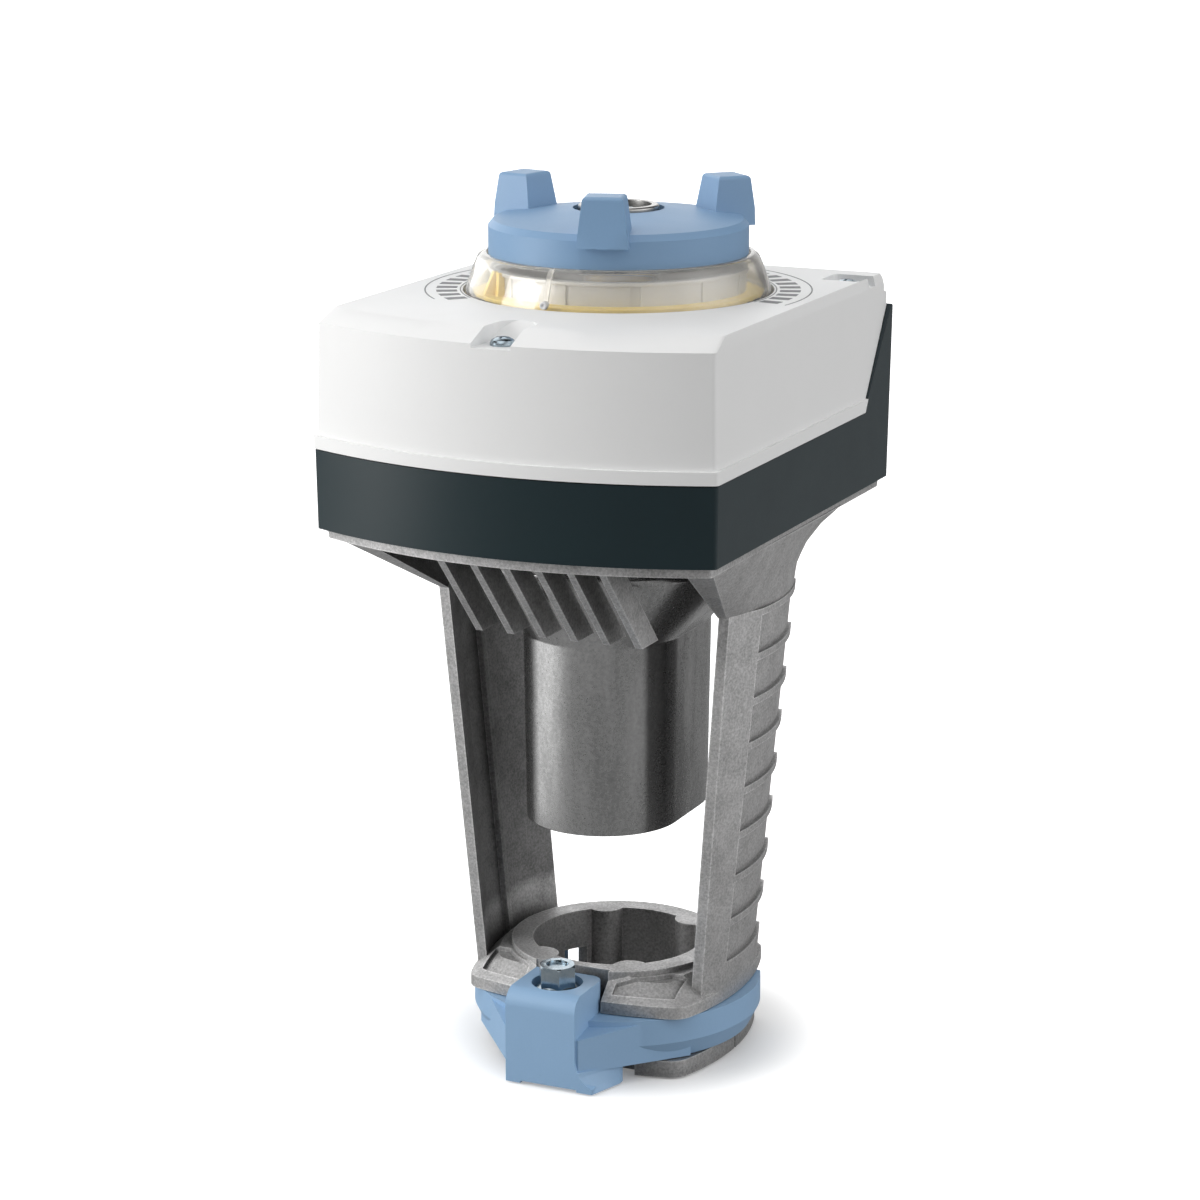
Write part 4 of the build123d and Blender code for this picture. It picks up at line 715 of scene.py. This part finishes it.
def makeWindowJoint():
    look = windowJoint
    corners = look["corners"]
    (firstRadius, low), (radius, high) = corners[0], corners[1]
    deep = look["proud"] + look["sunk"]
    middle = firstRadius + (look["proud"] - look["sunk"]) / 2
    clearSelection()
    bpy.ops.mesh.primitive_cube_add(size=1, location=(middle, 0, (low + high) / 2),
                                    scale=(deep, look["width"], high - low))
    rib = settle(bpy.context.object, "windowJoint")
    bpy.ops.object.mode_set(mode="EDIT")
    selectTop(rib)
    bpy.ops.transform.translate(value=(radius - firstRadius, 0, 0))
    for (lastRadius, lastHeight), (nextRadius, nextHeight) in zip(corners[1:], corners[2:]):
        selectTop(rib)
        bpy.ops.mesh.extrude_region_move(TRANSFORM_OT_translate={
            "value": (nextRadius - lastRadius, 0, nextHeight - lastHeight)})
    bpy.ops.object.mode_set(mode="OBJECT")
    rib.rotation_euler = (0, 0, math.radians(look["angle"]))
    settle(rib, "windowJoint")
    softenEdges(rib, look["soft"], look["softSegments"], look["softAngle"])
    bpy.ops.object.shade_smooth_by_angle(angle=math.radians(look["smoothAngle"]))
    dress(rib, "clearPlastic", "frame")


makeWindowJoint()

# small stud with a dimple at the joint's foot; insets and dimple as shares of its radius and depth
windowStud = {
    "radius": 0.0011,
    "depth": 0.0010,
    "height": 0.2302,
    "sides": 32,
    "rimInset": 0.55,
    "dimpleInset": 0.15,
    "dimpleDepth": 0.35,
    "soft": 0.00018,
    "softSegments": 3,
    "smoothAngle": 50,
}


def makeWindowStud():
    look = windowStud
    turn = math.radians(windowJoint["angle"])
    reach = windowJoint["corners"][0][0]
    clearSelection()
    bpy.ops.mesh.primitive_cylinder_add(
        vertices=look["sides"], radius=look["radius"], depth=2 * look["depth"],
        location=(reach * math.cos(turn), reach * math.sin(turn), look["height"]),
        rotation=(0, math.pi / 2, turn))
    stud = bpy.context.object
    bpy.ops.object.mode_set(mode="EDIT")
    selectFaces(stud, lambda face: face.normal.z > 0.9)   # the outer end, before it is turned
    bpy.ops.mesh.inset(thickness=look["radius"] * look["rimInset"], depth=0)
    bpy.ops.mesh.inset(thickness=look["radius"] * look["dimpleInset"],
                       depth=-look["depth"] * look["dimpleDepth"])
    bpy.ops.object.mode_set(mode="OBJECT")
    settle(stud, "windowStud")
    softenEdges(stud, look["soft"], look["softSegments"])
    bpy.ops.object.shade_smooth_by_angle(angle=math.radians(look["smoothAngle"]))
    dress(stud, "silverDrum", "frame")


makeWindowStud()
print("window joint and stud made")

floorLook = {
    "size": 30,
    "drop": 0.0006,
    "tone": (0.80, 0.80, 0.80),
    "mirroredTone": (0.22, 0.22, 0.22),
    # the glow is dimmer beside the part: a painted contact shadow
    "glow": (0.18, 0.85),           # beside the part and further out
    "paintedShadowReach": (0.040, 0.078),
    "bounce": 0.10,
    "roughness": 0.75,
    "specular": 0.2,
}


def makeFloor():
    # pale to the eye, duller in the reflections of the metal, and dimmer beside the part as a painted contact
    # shadow
    look = floorLook
    clearSelection()
    bpy.ops.mesh.primitive_plane_add(size=look["size"], location=(0, 0, -look["drop"]))
    floor = settle(bpy.context.object, "studioFloor")
    material = bpy.data.materials.new("paleFloor")
    material.use_nodes = True
    tree = material.node_tree
    surface = tree.nodes["Principled BSDF"]
    surface.inputs["Roughness"].default_value = look["roughness"]
    surface.inputs["Specular IOR Level"].default_value = look["specular"]
    surface.inputs["Emission Color"].default_value = (1, 1, 1, 1)
    place = addNode(tree, "ShaderNodeTexCoord")
    reach = addNode(tree, "ShaderNodeVectorMath", operation="LENGTH")
    # painted contact shadow: the glow dims close to the part
    paintedShadowFade = addNode(tree, "ShaderNodeMapRange",
                   {"From Min": look["paintedShadowReach"][0], "From Max": look["paintedShadowReach"][1],
                    "To Min": look["glow"][0], "To Max": look["glow"][1]},
                   interpolation_type="SMOOTHSTEP")
    rays = addNode(tree, "ShaderNodeLightPath")
    glow = addNode(tree, "ShaderNodeMix", {"A": look["bounce"]}, data_type="FLOAT")
    tone = addNode(tree, "ShaderNodeMix", data_type="RGBA")
    tone.inputs["A"].default_value = (*look["mirroredTone"], 1)
    tone.inputs["B"].default_value = (*look["tone"], 1)
    wire(tree,
         (place.outputs["Object"], reach.inputs[0]),
         (reach.outputs["Value"], paintedShadowFade.inputs["Value"]),
         (rays.outputs["Is Camera Ray"], glow.inputs["Factor"]),
         (paintedShadowFade.outputs["Result"], glow.inputs["B"]),
         (glow.outputs["Result"], surface.inputs["Emission Strength"]),
         (rays.outputs["Is Camera Ray"], tone.inputs["Factor"]),
         (tone.outputs["Result"], surface.inputs["Base Color"]))
    floor.data.materials.append(material)


setUpView()
setUpLamps()
setUpRoom()
makeFloor()
print("view, lights and floor set")
